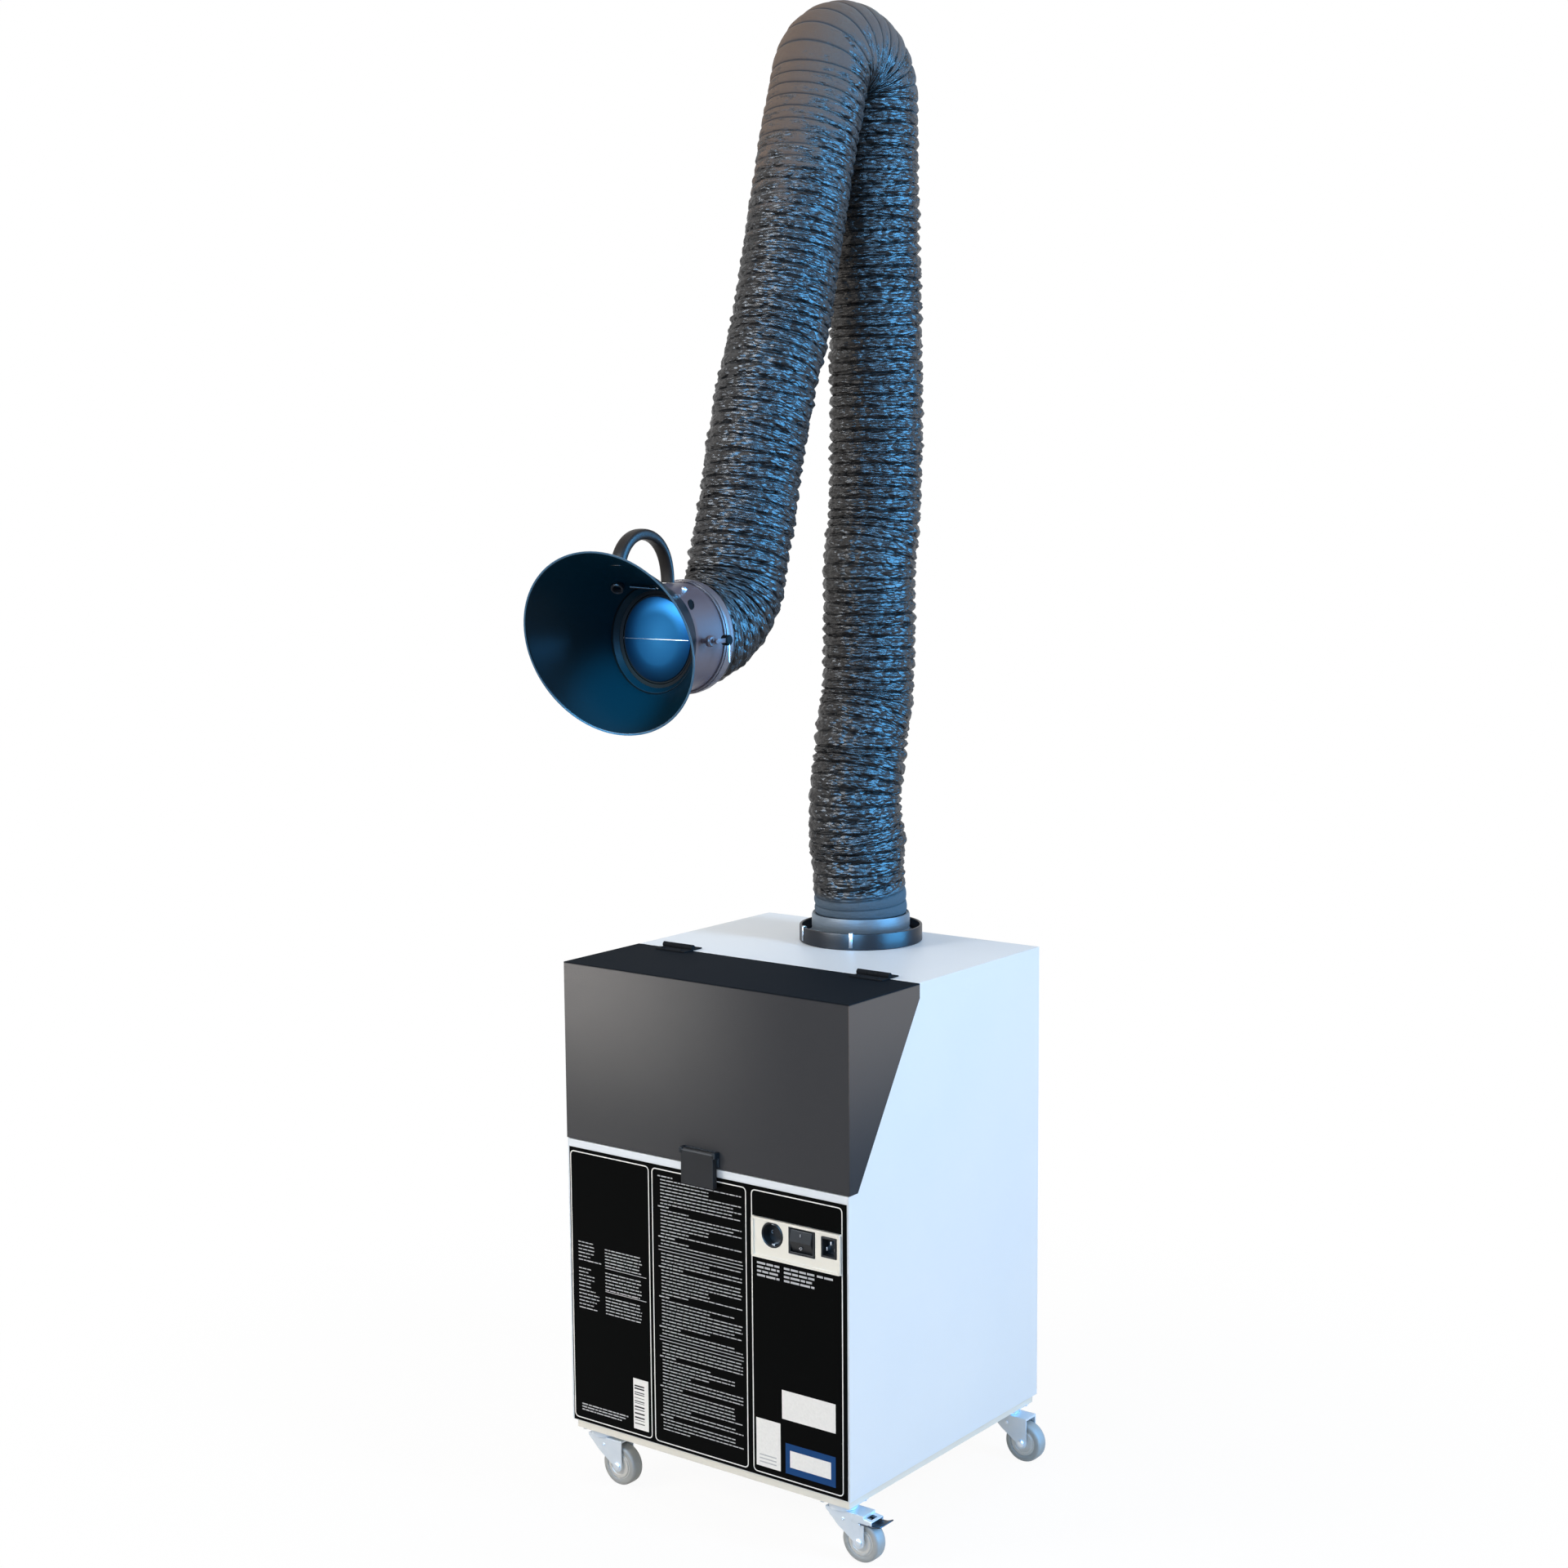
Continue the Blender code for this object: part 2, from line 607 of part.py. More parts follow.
def make_front_fittings(front):
    """The printed foil on the front, and the plate with the socket, the switch and the mains inlet."""
    foil_top = lid_bottom_z - foil_top_drop
    foil_side = half_width - foil_side_margin
    face = -half_depth - gap
    plate_high = Vector((half_width - plate_side_margin, lid_bottom_z - plate_top_drop))
    plate_low = plate_high - Vector((plate_width, plate_height))
    row_z = plate_low.y + fittings_rise
    socket_x = plate_low.x + socket_offset
    switch_x = plate_low.x + switch_offset
    inlet_x = plate_high.x - inlet_offset

    sheet_foil = node("label_foil", block(
        (-foil_side, face - foil_thickness, shell_lift + 2 * bite), (foil_side, face, foil_top)), FOIL)
    cut(sheet_foil, tool("foil_window", block(
        (plate_low.x - gap, face - foil_thickness - overrun, plate_low.y - gap),
        (plate_high.x + gap, face + overrun, plate_high.y + gap))))
    window = block((plate_low.x + 2 * box_margin, face - overrun, plate_low.y + box_margin),
                   (plate_high.x - bite, -half_depth + sheet + overrun, plate_high.y - bite))
    cut(front, tool("panel_window", window))
    plate = node("socket_plate", block(
        (plate_low.x, face - plate_thickness, plate_low.y), (plate_high.x, face, plate_high.y)), CREAM)
    cuts = (
        rod(socket_radius + gap, (socket_x, face - overrun - plate_thickness, row_z),
            (socket_x, face + overrun, row_z), round_steps),
        block((switch_x - switch_half_x - gap, face - plate_thickness - overrun, row_z - switch_half_z - gap),
              (switch_x + switch_half_x + gap, face + overrun, row_z + switch_half_z + gap)),
        block((inlet_x - inlet_half_x - gap, face - plate_thickness - overrun, row_z - inlet_half_z - gap),
              (inlet_x + inlet_half_x + gap, face + overrun, row_z + inlet_half_z + gap)),
    )
    for k, shape in enumerate(cuts):
        cut(plate, tool(f"plate_cut_{k}", shape))

    front_y = face - plate_thickness - fitting_proud
    back_y = face + fitting_depth
    socket = turned([
        (0, 0), (socket_radius - socket_rim, 0), (socket_radius - socket_rim, socket_recess),
        (socket_radius, socket_recess),
        (socket_radius, socket_recess - fitting_depth), (0, socket_recess - fitting_depth),
    ], (socket_x, front_y + socket_recess, row_z), -Y)
    node("service_socket", socket, MOULDED)

    rocker_half_x = switch_half_x - switch_bezel - running
    rocker_half_z = switch_half_z - switch_bezel - running
    frame = node("switch_frame", block(
        (switch_x - switch_half_x, front_y, row_z - switch_half_z),
        (switch_x + switch_half_x, back_y, row_z + switch_half_z)), MOULDED)
    cut(frame, tool("switch_well", block(
        (switch_x - switch_half_x + switch_bezel, front_y - overrun, row_z - switch_half_z + switch_bezel),
        (switch_x + switch_half_x - switch_bezel, front_y + switch_well_depth,
            row_z + switch_half_z - switch_bezel))))
    rocker_axis = Vector((switch_x, front_y + switch_well_depth / 2, row_z))
    floor_y = front_y + switch_well_depth - rocker_fall - gap
    rocker_tilt = math.radians(6)
    rocker_outline = [
        (floor_y, row_z - rocker_half_z / 2), (floor_y, row_z + rocker_half_z / 2),
        (rocker_axis.y, row_z + rocker_half_z - rocker_slack),
        (front_y + rocker_fall, row_z + rocker_half_z - rocker_slack), (front_y - rocker_crown, row_z),
        (front_y + rocker_fall, row_z - rocker_half_z + rocker_slack),
        (rocker_axis.y, row_z - rocker_half_z + rocker_slack),
    ]
    rocker = prism(rocker_outline, "X", switch_x - rocker_half_x, switch_x + rocker_half_x)
    bmesh.ops.rotate(rocker, verts=rocker.verts, cent=rocker_axis,
        matrix=Matrix.Rotation(rocker_tilt, 3, "X"))
    node("switch_rocker", rocker, MOULDED, rocker_axis)

    inlet = node("mains_inlet", block(
        (inlet_x - inlet_half_x, front_y, row_z - inlet_half_z),
        (inlet_x + inlet_half_x, back_y, row_z + inlet_half_z)), MOULDED)
    cut(inlet, tool("inlet_well", block(
        (inlet_x - inlet_half_x + socket_rim, front_y - overrun, row_z - inlet_half_z + socket_rim),
        (inlet_x + inlet_half_x - socket_rim, front_y + socket_recess, row_z + inlet_half_z - socket_rim))))
    pin_places_shares = ((-0.55, -0.25), (0.55, -0.25), (0, 0.35))
    for k, (u, v) in enumerate(pin_places_shares):
        x, z = inlet_x + u * inlet_half_x, row_z + v * inlet_half_z
        fuse(inlet, tool(f"inlet_pin_{k}", block(
            (x - inlet_pin_half_x, front_y + socket_recess - inlet_pin_length, z - inlet_pin_half_z),
            (x + inlet_pin_half_x, front_y + socket_recess + bite, z + inlet_pin_half_z))))

    box_low = Vector((plate_low.x + box_margin, -half_depth + sheet + gap, plate_low.y))
    box_high = Vector((plate_high.x + box_wall, back_y + box_margin, plate_high.y))
    box = node("control_box", block(box_low, box_high), GALVANISED)
    wall = Vector((box_wall, box_wall, box_wall))
    pocket_low, pocket_high = box_low + wall, box_high - wall
    pocket_low.y = box_low.y - overrun
    cut(box, tool("box_pocket", block(pocket_low, pocket_high)))
    return rocker_axis


# Sizes of the filter, the fan and the outlet
shelf_drop = 0.030
shelf_flange = 0.020
shelf_clear = 0.0006
fan_inlet_radius = 0.085
fan_x = -0.03
fan_y = 0.01
filter_side_room = 0.0287
filter_front_room = 0.0925
filter_back_room = 0.0575
filter_height = 0.150
pleat_depth = 0.045
pleats = 14
mat_thickness = 0.018
scroll_wall = 0.0015
scroll_height = 0.120
scroll_radius = 0.135
scroll_growth = 0.065
scroll_steps = 20
outlet_width = 0.110
fan_shaft_radius = 0.009
fan_shaft_reach = 0.030
fan_hub_radius = 0.045
fan_blade_tip = 0.112
fan_blade_half = 0.0018
fan_blade_height = 0.055
fan_blades = 9
fan_floor_room = 0.008
fan_disc = 0.003
motor_radius = 0.068
motor_height = 0.165
motor_foot = 0.090
motor_flange = 0.006
motor_seat_room = 0.004
grille_thickness = 0.002
grille_side_lap = 0.012
grille_end_lap = 0.004
grille_slots = 9


def make_filters(back):
    """The shelf, the pleated filter and its spark mat, the fan under them and the louvred outlet."""
    shelf_z = lid_bottom_z - shelf_drop
    inner = half_width - sheet - gap
    shelf_back = half_depth - sheet - gap
    shelf_front = -half_depth + panel_flange + shelf_clear
    outline = [
        (-inner, shelf_z - shelf_flange), (-inner + sheet, shelf_z - shelf_flange),
        (-inner + sheet, shelf_z - sheet),
        (inner - sheet, shelf_z - sheet), (inner - sheet, shelf_z - shelf_flange),
        (inner, shelf_z - shelf_flange),
        (inner, shelf_z), (-inner, shelf_z),
    ]
    shelf = node("filter_shelf", prism(outline, "Y", shelf_front, shelf_back), GALVANISED)
    cut(shelf, tool("shelf_hole", rod(
        fan_inlet_radius, (fan_x, fan_y, shelf_z - sheet - overrun), (fan_x, fan_y, shelf_z + overrun),
        round_steps)))

    filter_half_x = inner - filter_side_room
    filter_front = -half_depth + filter_front_room
    filter_back = half_depth - filter_back_room
    base_z = shelf_z + gap
    top_z = base_z + filter_height
    zigzag = [(-filter_half_x, base_z), (filter_half_x, base_z)]
    pitch = 2 * filter_half_x / pleats
    for k in range(pleats):
        x = filter_half_x - k * pitch
        zigzag += [(x, top_z), (x - pitch / 2, top_z - pleat_depth)]
    zigzag.append((-filter_half_x, top_z))
    node("main_filter", prism(zigzag, "Y", filter_front, filter_back), PAPER)
    node("spark_mat", block((-filter_half_x, filter_front, top_z + gap),
                            (filter_half_x, filter_back, top_z + gap + mat_thickness)), GALVANISED)

    scroll_top = shelf_z - sheet - gap
    scroll_low = scroll_top - scroll_height

    def spiral(inset):
        points = []
        for k in range(scroll_steps + 1):
            angle = math.tau * k / scroll_steps
            radius = scroll_radius + scroll_growth * k / scroll_steps - inset
            points.append((fan_x - radius * math.cos(angle), fan_y - radius * math.sin(angle)))
        return points

    outlet_y = shelf_back - gap
    outer = spiral(0)
    mouth_x = outer[-1][0]
    scroll_outline = outer[:-1] + [(mouth_x, fan_y)]
    scroll = node("fan_scroll", prism(scroll_outline, "Z", scroll_low, scroll_top), GALVANISED)
    outlet_right = fan_x + scroll_radius
    outlet_left = outlet_right - outlet_width
    fuse(scroll, tool("scroll_outlet", block(
        (outlet_left, fan_y, scroll_low), (outlet_right, outlet_y, scroll_top))))
    cut(scroll, tool("scroll_hollow", prism(
        spiral(scroll_wall)[:-1] + [(mouth_x + scroll_wall, fan_y)], "Z", scroll_low + scroll_wall,
        scroll_top - scroll_wall)))
    cut(scroll, tool("scroll_outlet_hollow", block(
        (outlet_left + scroll_wall, fan_y - bite, scroll_low + scroll_wall),
        (outlet_right - scroll_wall, outlet_y + overrun, scroll_top - scroll_wall))))
    cut(scroll, tool("scroll_inlet", rod(
        fan_inlet_radius, (fan_x, fan_y, scroll_top - scroll_wall - overrun),
        (fan_x, fan_y, scroll_top + overrun),
        round_steps)))
    cut(scroll, tool("scroll_shaft_hole", rod(
        fan_shaft_radius + 5 * running, (fan_x, fan_y, scroll_low - overrun),
        (fan_x, fan_y, scroll_low + scroll_wall + overrun))))

    star = []
    for k in range(fan_blades):
        angle = math.tau * k / fan_blades
        out = Vector((math.cos(angle), math.sin(angle)))
        side = Vector((-out.y, out.x)) * fan_blade_half
        for spot in (out * fan_hub_radius - side, out * fan_blade_tip - side, out * fan_blade_tip + side,
            out * fan_hub_radius + side):
            star.append((fan_x + spot.x, fan_y + spot.y))
    wheel_low = scroll_low + scroll_wall + fan_floor_room
    wheel_high = wheel_low + fan_blade_height
    fan_axis = Vector((fan_x, fan_y, wheel_low))
    fan = node("impeller", prism(star, "Z", wheel_low, wheel_high), MOTOR, fan_axis)
    fuse(fan, tool("impeller_disc", rod(
        fan_blade_tip, (fan_x, fan_y, wheel_low - bite), (fan_x, fan_y, wheel_low - bite + fan_disc),
        round_steps),
        fan_axis))
    fuse(fan, tool("impeller_shaft", rod(
        fan_shaft_radius, (fan_x, fan_y, scroll_low - fan_shaft_reach),
        (fan_x, fan_y, wheel_high - bite)), fan_axis))

    top = scroll_low - gap
    seat = fan_shaft_reach + motor_seat_room
    bore = fan_shaft_radius + running
    node("motor", turned([
        (bore, top), (motor_foot, top), (motor_foot, top - motor_flange), (motor_radius, top - motor_flange),
        (motor_radius, top - motor_height), (0, top - motor_height), (0, top - seat), (bore, top - seat),
    ], (fan_x, fan_y, 0)), MOTOR)

    grille_low = Vector((outlet_left - grille_side_lap, scroll_low - grille_end_lap))
    grille_high = Vector((outlet_right + grille_side_lap, scroll_top + grille_end_lap))
    cut(back, tool("outlet_window", block(
        (outlet_left, half_depth - sheet - overrun, scroll_low),
        (outlet_right, half_depth + overrun, scroll_top))))
    grille = node("exhaust_grille", block(
        (grille_low.x, half_depth + gap, grille_low.y),
        (grille_high.x, half_depth + gap + grille_thickness, grille_high.y)), BLACK)
    slot_pitch = scroll_height / grille_slots
    slot_cut = bmesh.new()
    for k in range(grille_slots):
        low = scroll_low + slot_pitch * (k + 0.25)
        block((outlet_left + scroll_wall, half_depth - overrun, low),
              (outlet_right - scroll_wall, half_depth + grille_thickness + overrun, low + slot_pitch / 2),
              slot_cut)
    cut(grille, tool("grille_slots", slot_cut))
    return fan_axis


# Sizes of the swivel
ring_radius = 0.1075
ring_lip = 0.0045
ring_floor = 0.008
pipe_outer = 0.0822
pipe_inner = 0.0797
pipe_drop = 0.030
pipe_flange = 0.003
pipe_flange_room = 0.004
swivel_bar_drop = 0.034
swivel_bar_half = 0.010
swivel_bar_height = 0.010
lug_thickness = 0.005
lug_gap = 0.0112
lug_round = 0.014
joint_pin_radius = 0.006
pin_head_radius = 0.010
pin_head_thickness = 0.004


def make_swivel():
    """The gutter ring on the deck, the pipe that turns in it, and the cuff that holds the hose."""
    ring_inner = pipe_outer + running
    seat = deck_z + gap
    node("swivel_ring", turned([
        (ring_inner, 0), (ring_radius, 0), (ring_radius, ring_height), (ring_radius - ring_lip, ring_height),
        (ring_radius - ring_lip, ring_floor), (ring_inner, ring_floor),
    ], (0, arm_y, seat), steps=fine_steps), BLACK)
    flange_z = seat + ring_floor + gap
    flange_radius = ring_radius - ring_lip - pipe_flange_room
    pipe = node("swivel_pipe", turned([
        (pipe_inner, deck_z - pipe_drop), (pipe_outer, deck_z - pipe_drop), (pipe_outer, flange_z),
        (flange_radius, flange_z), (flange_radius, flange_z + pipe_flange),
        (pipe_outer, flange_z + pipe_flange), (pipe_outer, cuff_top_z - bite),
        (pipe_inner, cuff_top_z - bite),
    ], (0, arm_y, 0)), CUFF)
    bar_low = cuff_top_z - swivel_bar_drop
    fuse(pipe, tool("swivel_bar", block(
        (-pipe_inner - bite, arm_y - swivel_bar_half, bar_low),
        (pipe_inner + bite, arm_y + swivel_bar_half, bar_low + swivel_bar_height))))
    for sign in (-1, 1):
        near, far = sign * lug_gap, sign * (lug_gap + lug_thickness)
        fuse(pipe, tool(f"swivel_lug_{sign}", prism(
            bar_outline([(arm_y, bar_low + swivel_bar_height), (arm_y, shoulder.z)], lug_round), "X",
            min(near, far), max(near, far))))
    cut(pipe, tool("shoulder_bore", rod(
        joint_pin_radius + gap, shoulder - X * (lug_gap + lug_thickness + overrun),
        shoulder + X * (lug_gap + lug_thickness + overrun))))
    cuff_outer = neck_radius
    cuff_low = flange_z + pipe_flange + gap
    node("hose_cuff", sleeve(cuff_outer, pipe_outer + gap, (0, arm_y, cuff_low), (0, arm_y, cuff_top_z),
        fine_steps), CUFF)
    pin_half = lug_gap + lug_thickness + gap
    node("shoulder_pin", turned([
        (0, -pin_half), (joint_pin_radius, -pin_half), (joint_pin_radius, pin_half),
        (pin_head_radius, pin_half), (pin_head_radius, pin_half + pin_head_thickness),
        (0, pin_half + pin_head_thickness),
    ], shoulder, X, small_steps), STEEL)


# Sizes of the arm's bars and joints
arm_half = 0.014
arm_thickness = 0.010
arm_side_room = 0.0002
arm_crank = 0.045
joint_head_radius = 0.011
joint_head_thickness = 0.005
collar_wall = 0.0033
collar_bar_half_y = 0.0015
collar_bar_half_z = 0.012
link_flange_half = 0.012
link_flange_thickness = 0.004
link_slim_share = 0.75


def make_arm():
    """Two flat steel arms inside the hose, with a friction joint at the elbow and at the wrist."""
    near = gap + arm_side_room
    rear_bend = rear_top - rear_up * arm_crank
    front_bend = front_top - front_up * arm_crank
    lower_path = [(shoulder.y, shoulder.z), tuple(rear_bend), (elbow.y, elbow.z)]
    upper_path = [(elbow.y, elbow.z), tuple(front_bend), (wrist.y, wrist.z)]
    lower = node("lower_arm", prism(bar_outline(lower_path, arm_half), "X", -near - arm_thickness, -near),
        STEEL, shoulder)
    upper = node("upper_arm", prism(bar_outline(upper_path, arm_half), "X", near, near + arm_thickness),
        STEEL, elbow)
    bore = joint_pin_radius + gap
    side = X * (arm_thickness + overrun)
    for arm, spots, pivot, tag in ((lower, (shoulder, elbow), shoulder, "lower"),
        (upper, (elbow, wrist), elbow, "upper")):
        for k, spot in enumerate(spots):
            cut(arm, tool(f"{tag}_bore_{k}", rod(bore, spot - side, spot + side), pivot))
    reach = near + arm_thickness + gap
    for name, spot in (("elbow_pin", elbow), ("wrist_pin", wrist)):
        node(name, turned([
            (0, -reach - joint_head_thickness), (joint_head_radius, -reach - joint_head_thickness),
            (joint_head_radius, -reach), (joint_pin_radius, -reach), (joint_pin_radius, reach),
            (0, reach),
        ], spot, X, small_steps), STEEL)

    collar_outer = neck_radius + collar_wall
    collar_inner = neck_radius + running
    link_end = Vector((0, collar_back_y + gap, neck_axis_z))
    link_path = [(wrist.y, wrist.z), (link_end.y + link_flange_thickness, link_end.z)]
    link = node("wrist_link",
        prism(bar_outline(link_path, arm_half * link_slim_share), "X", -near - arm_thickness, -near),
        STEEL, wrist)
    cut(link, tool("link_trim", block(
        (-arm_thickness - overrun, link_end.y - arm_half, link_end.z - 2 * arm_half),
        (overrun, link_end.y, link_end.z + 2 * arm_half)), wrist))
    cut(link, tool("link_bore", rod(bore, wrist - side, wrist + side), wrist))
    fuse(link, tool("link_flange", block(
        (-link_flange_half, link_end.y, link_end.z - link_flange_half),
        (link_flange_half, link_end.y + link_flange_thickness, link_end.z + link_flange_half)), wrist))
    collar = node("hood_collar", turned([
        (collar_inner, 0), (collar_outer, 0), (collar_outer, collar_back_y - collar_face_y),
        (collar_inner, collar_back_y - collar_face_y),
    ], (0, collar_face_y, neck_axis_z), Y, fine_steps), CUFF, wrist)
    fuse(collar, tool("collar_bar", block(
        (-collar_inner - bite, collar_back_y - 2 * collar_bar_half_y, neck_axis_z - collar_bar_half_z),
        (collar_inner + bite, collar_back_y, neck_axis_z + collar_bar_half_z)), wrist))


# Sizes of the hood, its handle and its throttle
hood_wall = 0.0025
damper_setback = 0.015
disc_radius = 0.066
disc_thickness = 0.002
damper_shaft_radius = 0.004
lever_stub = 0.030
lever_place_share = 0.6
lever_thickness = 0.003
lever_half = 0.006
lever_length = 0.050
lever_boss_radius = 0.009
lever_boss_length = 0.007
strap_half = 0.0125
strap_thickness = 0.008
handle_front_share = 0.877
handle_back_lap = 0.041
handle_rise = 0.085
handle_fullness_share = 0.8


def make_hood():
    """The funnel hood on its neck pipe, the grab handle, and the throttle disc with its lever."""
    handle_front_y = throat_y - handle_front_share * funnel_length
    handle_back_y = throat_y + handle_back_lap
    segments = fine_steps
    neck_centre = Vector((0, neck_back_y, neck_axis_z))
    throat = Vector((0, throat_y, neck_axis_z))
    mouth = Vector((0, mouth_y, neck_axis_z - mouth_drop))
    facing = Vector((
        math.sin(mouth_yaw) * math.cos(mouth_pitch), -math.cos(mouth_yaw) * math.cos(mouth_pitch),
        -math.sin(mouth_pitch)))
    hood_pivot = neck_centre
    bm = bmesh.new()

    def hoop(centre, normal, radius):
        across = Z.cross(normal).normalized()
        up = normal.cross(across)
        return [bm.verts.new(centre + (across * math.cos(a) + up * math.sin(a)) * radius)
                for a in (math.tau * k / segments for k in range(segments))]

    hoops = [
        hoop(neck_centre, -Y, neck_radius), hoop(throat, -Y, neck_radius), hoop(mouth, facing, mouth_radius),
        hoop(mouth, facing, mouth_radius - hood_wall), hoop(throat, -Y, neck_radius - hood_wall),
        hoop(neck_centre, -Y, neck_radius - hood_wall),
    ]
    for here, there in zip(hoops, hoops[1:] + hoops[:1]):
        for k in range(segments):
            m = (k + 1) % segments
            bm.faces.new((here[k], here[m], there[m], there[k]))
    hood = node("hood", bm, HOOD, hood_pivot)

    shaft = Vector((0, throat_y + damper_setback, neck_axis_z))
    cut(hood, tool("shaft_holes", rod(
        damper_shaft_radius + running, shaft - X * mouth_radius, shaft + X * mouth_radius), hood_pivot))
    disc_face = shaft.y - damper_shaft_radius - gap
    node("damper_disc", rod(disc_radius, (0, disc_face - disc_thickness, neck_axis_z),
        (0, disc_face, neck_axis_z),
                            round_steps), GALVANISED, shaft)
    lever = node("damper_lever", rod(damper_shaft_radius, shaft - X * (neck_radius + 3 * hood_wall),
                                     shaft + X * (neck_radius + lever_stub)), MOULDED, shaft)
    arm_x = neck_radius + lever_stub * lever_place_share
    fuse(lever, tool("lever_arm", prism(bar_outline(
        [(shaft.y, shaft.z), (shaft.y, shaft.z - lever_length)], lever_half), "X", arm_x,
            arm_x + lever_thickness), shaft))
    fuse(lever, tool("lever_boss", rod(
        lever_boss_radius, (arm_x - lever_boss_length, shaft.y, shaft.z),
        (arm_x + bite, shaft.y, shaft.z)), shaft))

    top = neck_axis_z + neck_radius + gap
    upper_edge = mouth + facing.cross(X).normalized() * mouth_radius
    slope = (upper_edge.z - top) / (upper_edge.y - throat_y)

    def surface_z(y):
        return top + max(0, (y - throat_y) * slope)

    steps = 14
    outer, inner = [], []
    middle, half_span = (handle_front_y + handle_back_y) / 2, (handle_back_y - handle_front_y) / 2
    for k in range(steps + 1):
        angle = math.pi * k / steps
        for line, inset in ((outer, 0), (inner, strap_thickness)):
            y = middle + (half_span - inset) * math.cos(angle)
            fullness = math.sin(angle) ** handle_fullness_share
            line.append((y, surface_z(handle_back_y) + (handle_rise - inset) * fullness))

    def seated(line):
        return [(y, max(z, surface_z(y) + gap)) for y, z in line]

    node("hood_handle", prism(seated(outer) + list(reversed(seated(inner))), "X", -strap_half, strap_half),
         MOULDED, hood_pivot)
    return hood_pivot, shaft


# Sizes of the casters and the brake
caster_plate_half_x = 0.031
caster_plate_half_y = 0.0265
caster_plate_thickness = 0.0025
race_radius = 0.024
race_height = 0.010
fork_crown = 0.004
fork_side_room = 0.0006
fork_cheek = 0.0025
fork_eye = 0.010
fork_lip = 0.004
fork_knee = 0.026
wheel_half = 0.0120
hub_half = 0.0135
hub_radius = 0.016
axle_radius = 0.005
tread_corner = 0.004
pedal_arm = 0.003
pedal_thickness = 0.003
pedal_pin_radius = 0.0025
pedal_lift = 0.031
pedal_shin_share = 0.85


def make_casters():
    """Four swivel casters: bolted plate, pressed fork, grey wheel, and a brake on the front right one."""
    slot_half = hub_half + fork_side_room
    bore = axle_radius + running
    pivots = {}
    plate_top = caster_height - gap
    race_low = plate_top - caster_plate_thickness - race_height
    crown_top = race_low - gap
    for end, sy in (("front", -1), ("rear", 1)):
        for side, sx in (("left", -1), ("right", 1)):
            name = f"{end}_{side}"
            x, y = sx * caster_x, sy * caster_y
            swivel = Vector((x, y, crown_top))
            axle_at = Vector((x + caster_trail, y, wheel_radius))
            plate = node(f"caster_plate_{name}", block(
                (x - caster_plate_half_x, y - caster_plate_half_y, plate_top - caster_plate_thickness),
                (x + caster_plate_half_x, y + caster_plate_half_y, plate_top)), ZINC)
            fuse(plate, tool(f"race_{name}", rod(
                race_radius, (x, y, race_low), (x, y, plate_top - caster_plate_thickness + bite),
                round_steps)))
            nose = race_radius
            outline = [(x - nose, crown_top), (x - nose, crown_top - fork_lip), (x, crown_top - fork_knee)]
            for k in range(9):
                angle = math.pi * (1 + k / 8)
                outline.append((axle_at.x + fork_eye * math.cos(angle),
                    axle_at.z + fork_eye * math.sin(angle)))
            outline += [(axle_at.x + fork_eye, crown_top - fork_knee), (axle_at.x + fork_eye, crown_top)]
            outer_half = slot_half + fork_cheek
            fork = node(f"caster_fork_{name}", prism(outline, "Y", y - outer_half, y + outer_half), ZINC,
                swivel)
            cut(fork, tool(f"fork_slot_{name}", block(
                (x - wheel_radius - 2 * nose, y - slot_half, -overrun),
                (x + caster_trail + wheel_radius + nose, y + slot_half, crown_top - fork_crown)), swivel))
            fuse(fork, tool(f"axle_{name}", rod(
                axle_radius, axle_at - Y * (outer_half + fork_cheek),
                axle_at + Y * (outer_half + fork_cheek)), swivel))
            node(f"caster_wheel_{name}", turned([
                (bore, -hub_half), (hub_radius, -hub_half), (wheel_radius - tread_corner, -wheel_half),
                (wheel_radius, -wheel_half + tread_corner), (wheel_radius, wheel_half - tread_corner),
                (wheel_radius - tread_corner, wheel_half), (hub_radius, hub_half), (bore, hub_half),
            ], axle_at, Y), TREAD, axle_at)
            pivots[name] = (swivel, axle_at)
    swivel, axle_at = pivots["front_right"]
    pedal_half = outer_half + running + pedal_arm
    pivot = Vector((axle_at.x + pedal_thickness, axle_at.y, axle_at.z + pedal_lift))
    shin = axle_at.x + wheel_radius * pedal_shin_share
    outline = [
        (pivot.x - 2 * pedal_thickness, pivot.z - pedal_thickness), (shin, pivot.z - pedal_thickness),
        (pedal_tip_x, pivot.z + pedal_thickness),
        (pedal_tip_x, pivot.z + 2 * pedal_thickness), (shin, pivot.z + pedal_thickness),
        (pivot.x - 2 * pedal_thickness, pivot.z + pedal_thickness),
    ]
    pedal = node("brake_pedal", prism(outline, "Y", pivot.y - pedal_half, pivot.y + pedal_half), MOULDED,
        pivot)
    cut(pedal, tool("pedal_slot", block(
        (pivot.x - 4 * pedal_thickness, pivot.y - outer_half - running, pivot.z - 2 * pedal_thickness),
        (shin, pivot.y + outer_half + running, pivot.z + 2 * pedal_thickness)), pivot))
    cut(pedal, tool("pedal_bore", rod(
        pedal_pin_radius + running, pivot - Y * 2 * pedal_half, pivot + Y * 2 * pedal_half), pivot))
    fork = bpy.data.objects["caster_fork_front_right"]
    for sign in (-1, 1):
        near, far = Y * sign * (outer_half - bite), Y * sign * pedal_half
        fuse(fork, tool(f"pedal_stub_{sign}", rod(pedal_pin_radius, pivot + near, pivot + far), swivel))
    return pivots, pivot


front_panel, back_panel = make_cabinet()
latch_axis = make_lid_fittings()
rocker_axis = make_front_fittings(front_panel)
fan_axis = make_filters(back_panel)
make_swivel()
make_arm()
hood_pivot, damper_axis = make_hood()
caster_pivots, pedal_pivot = make_casters()

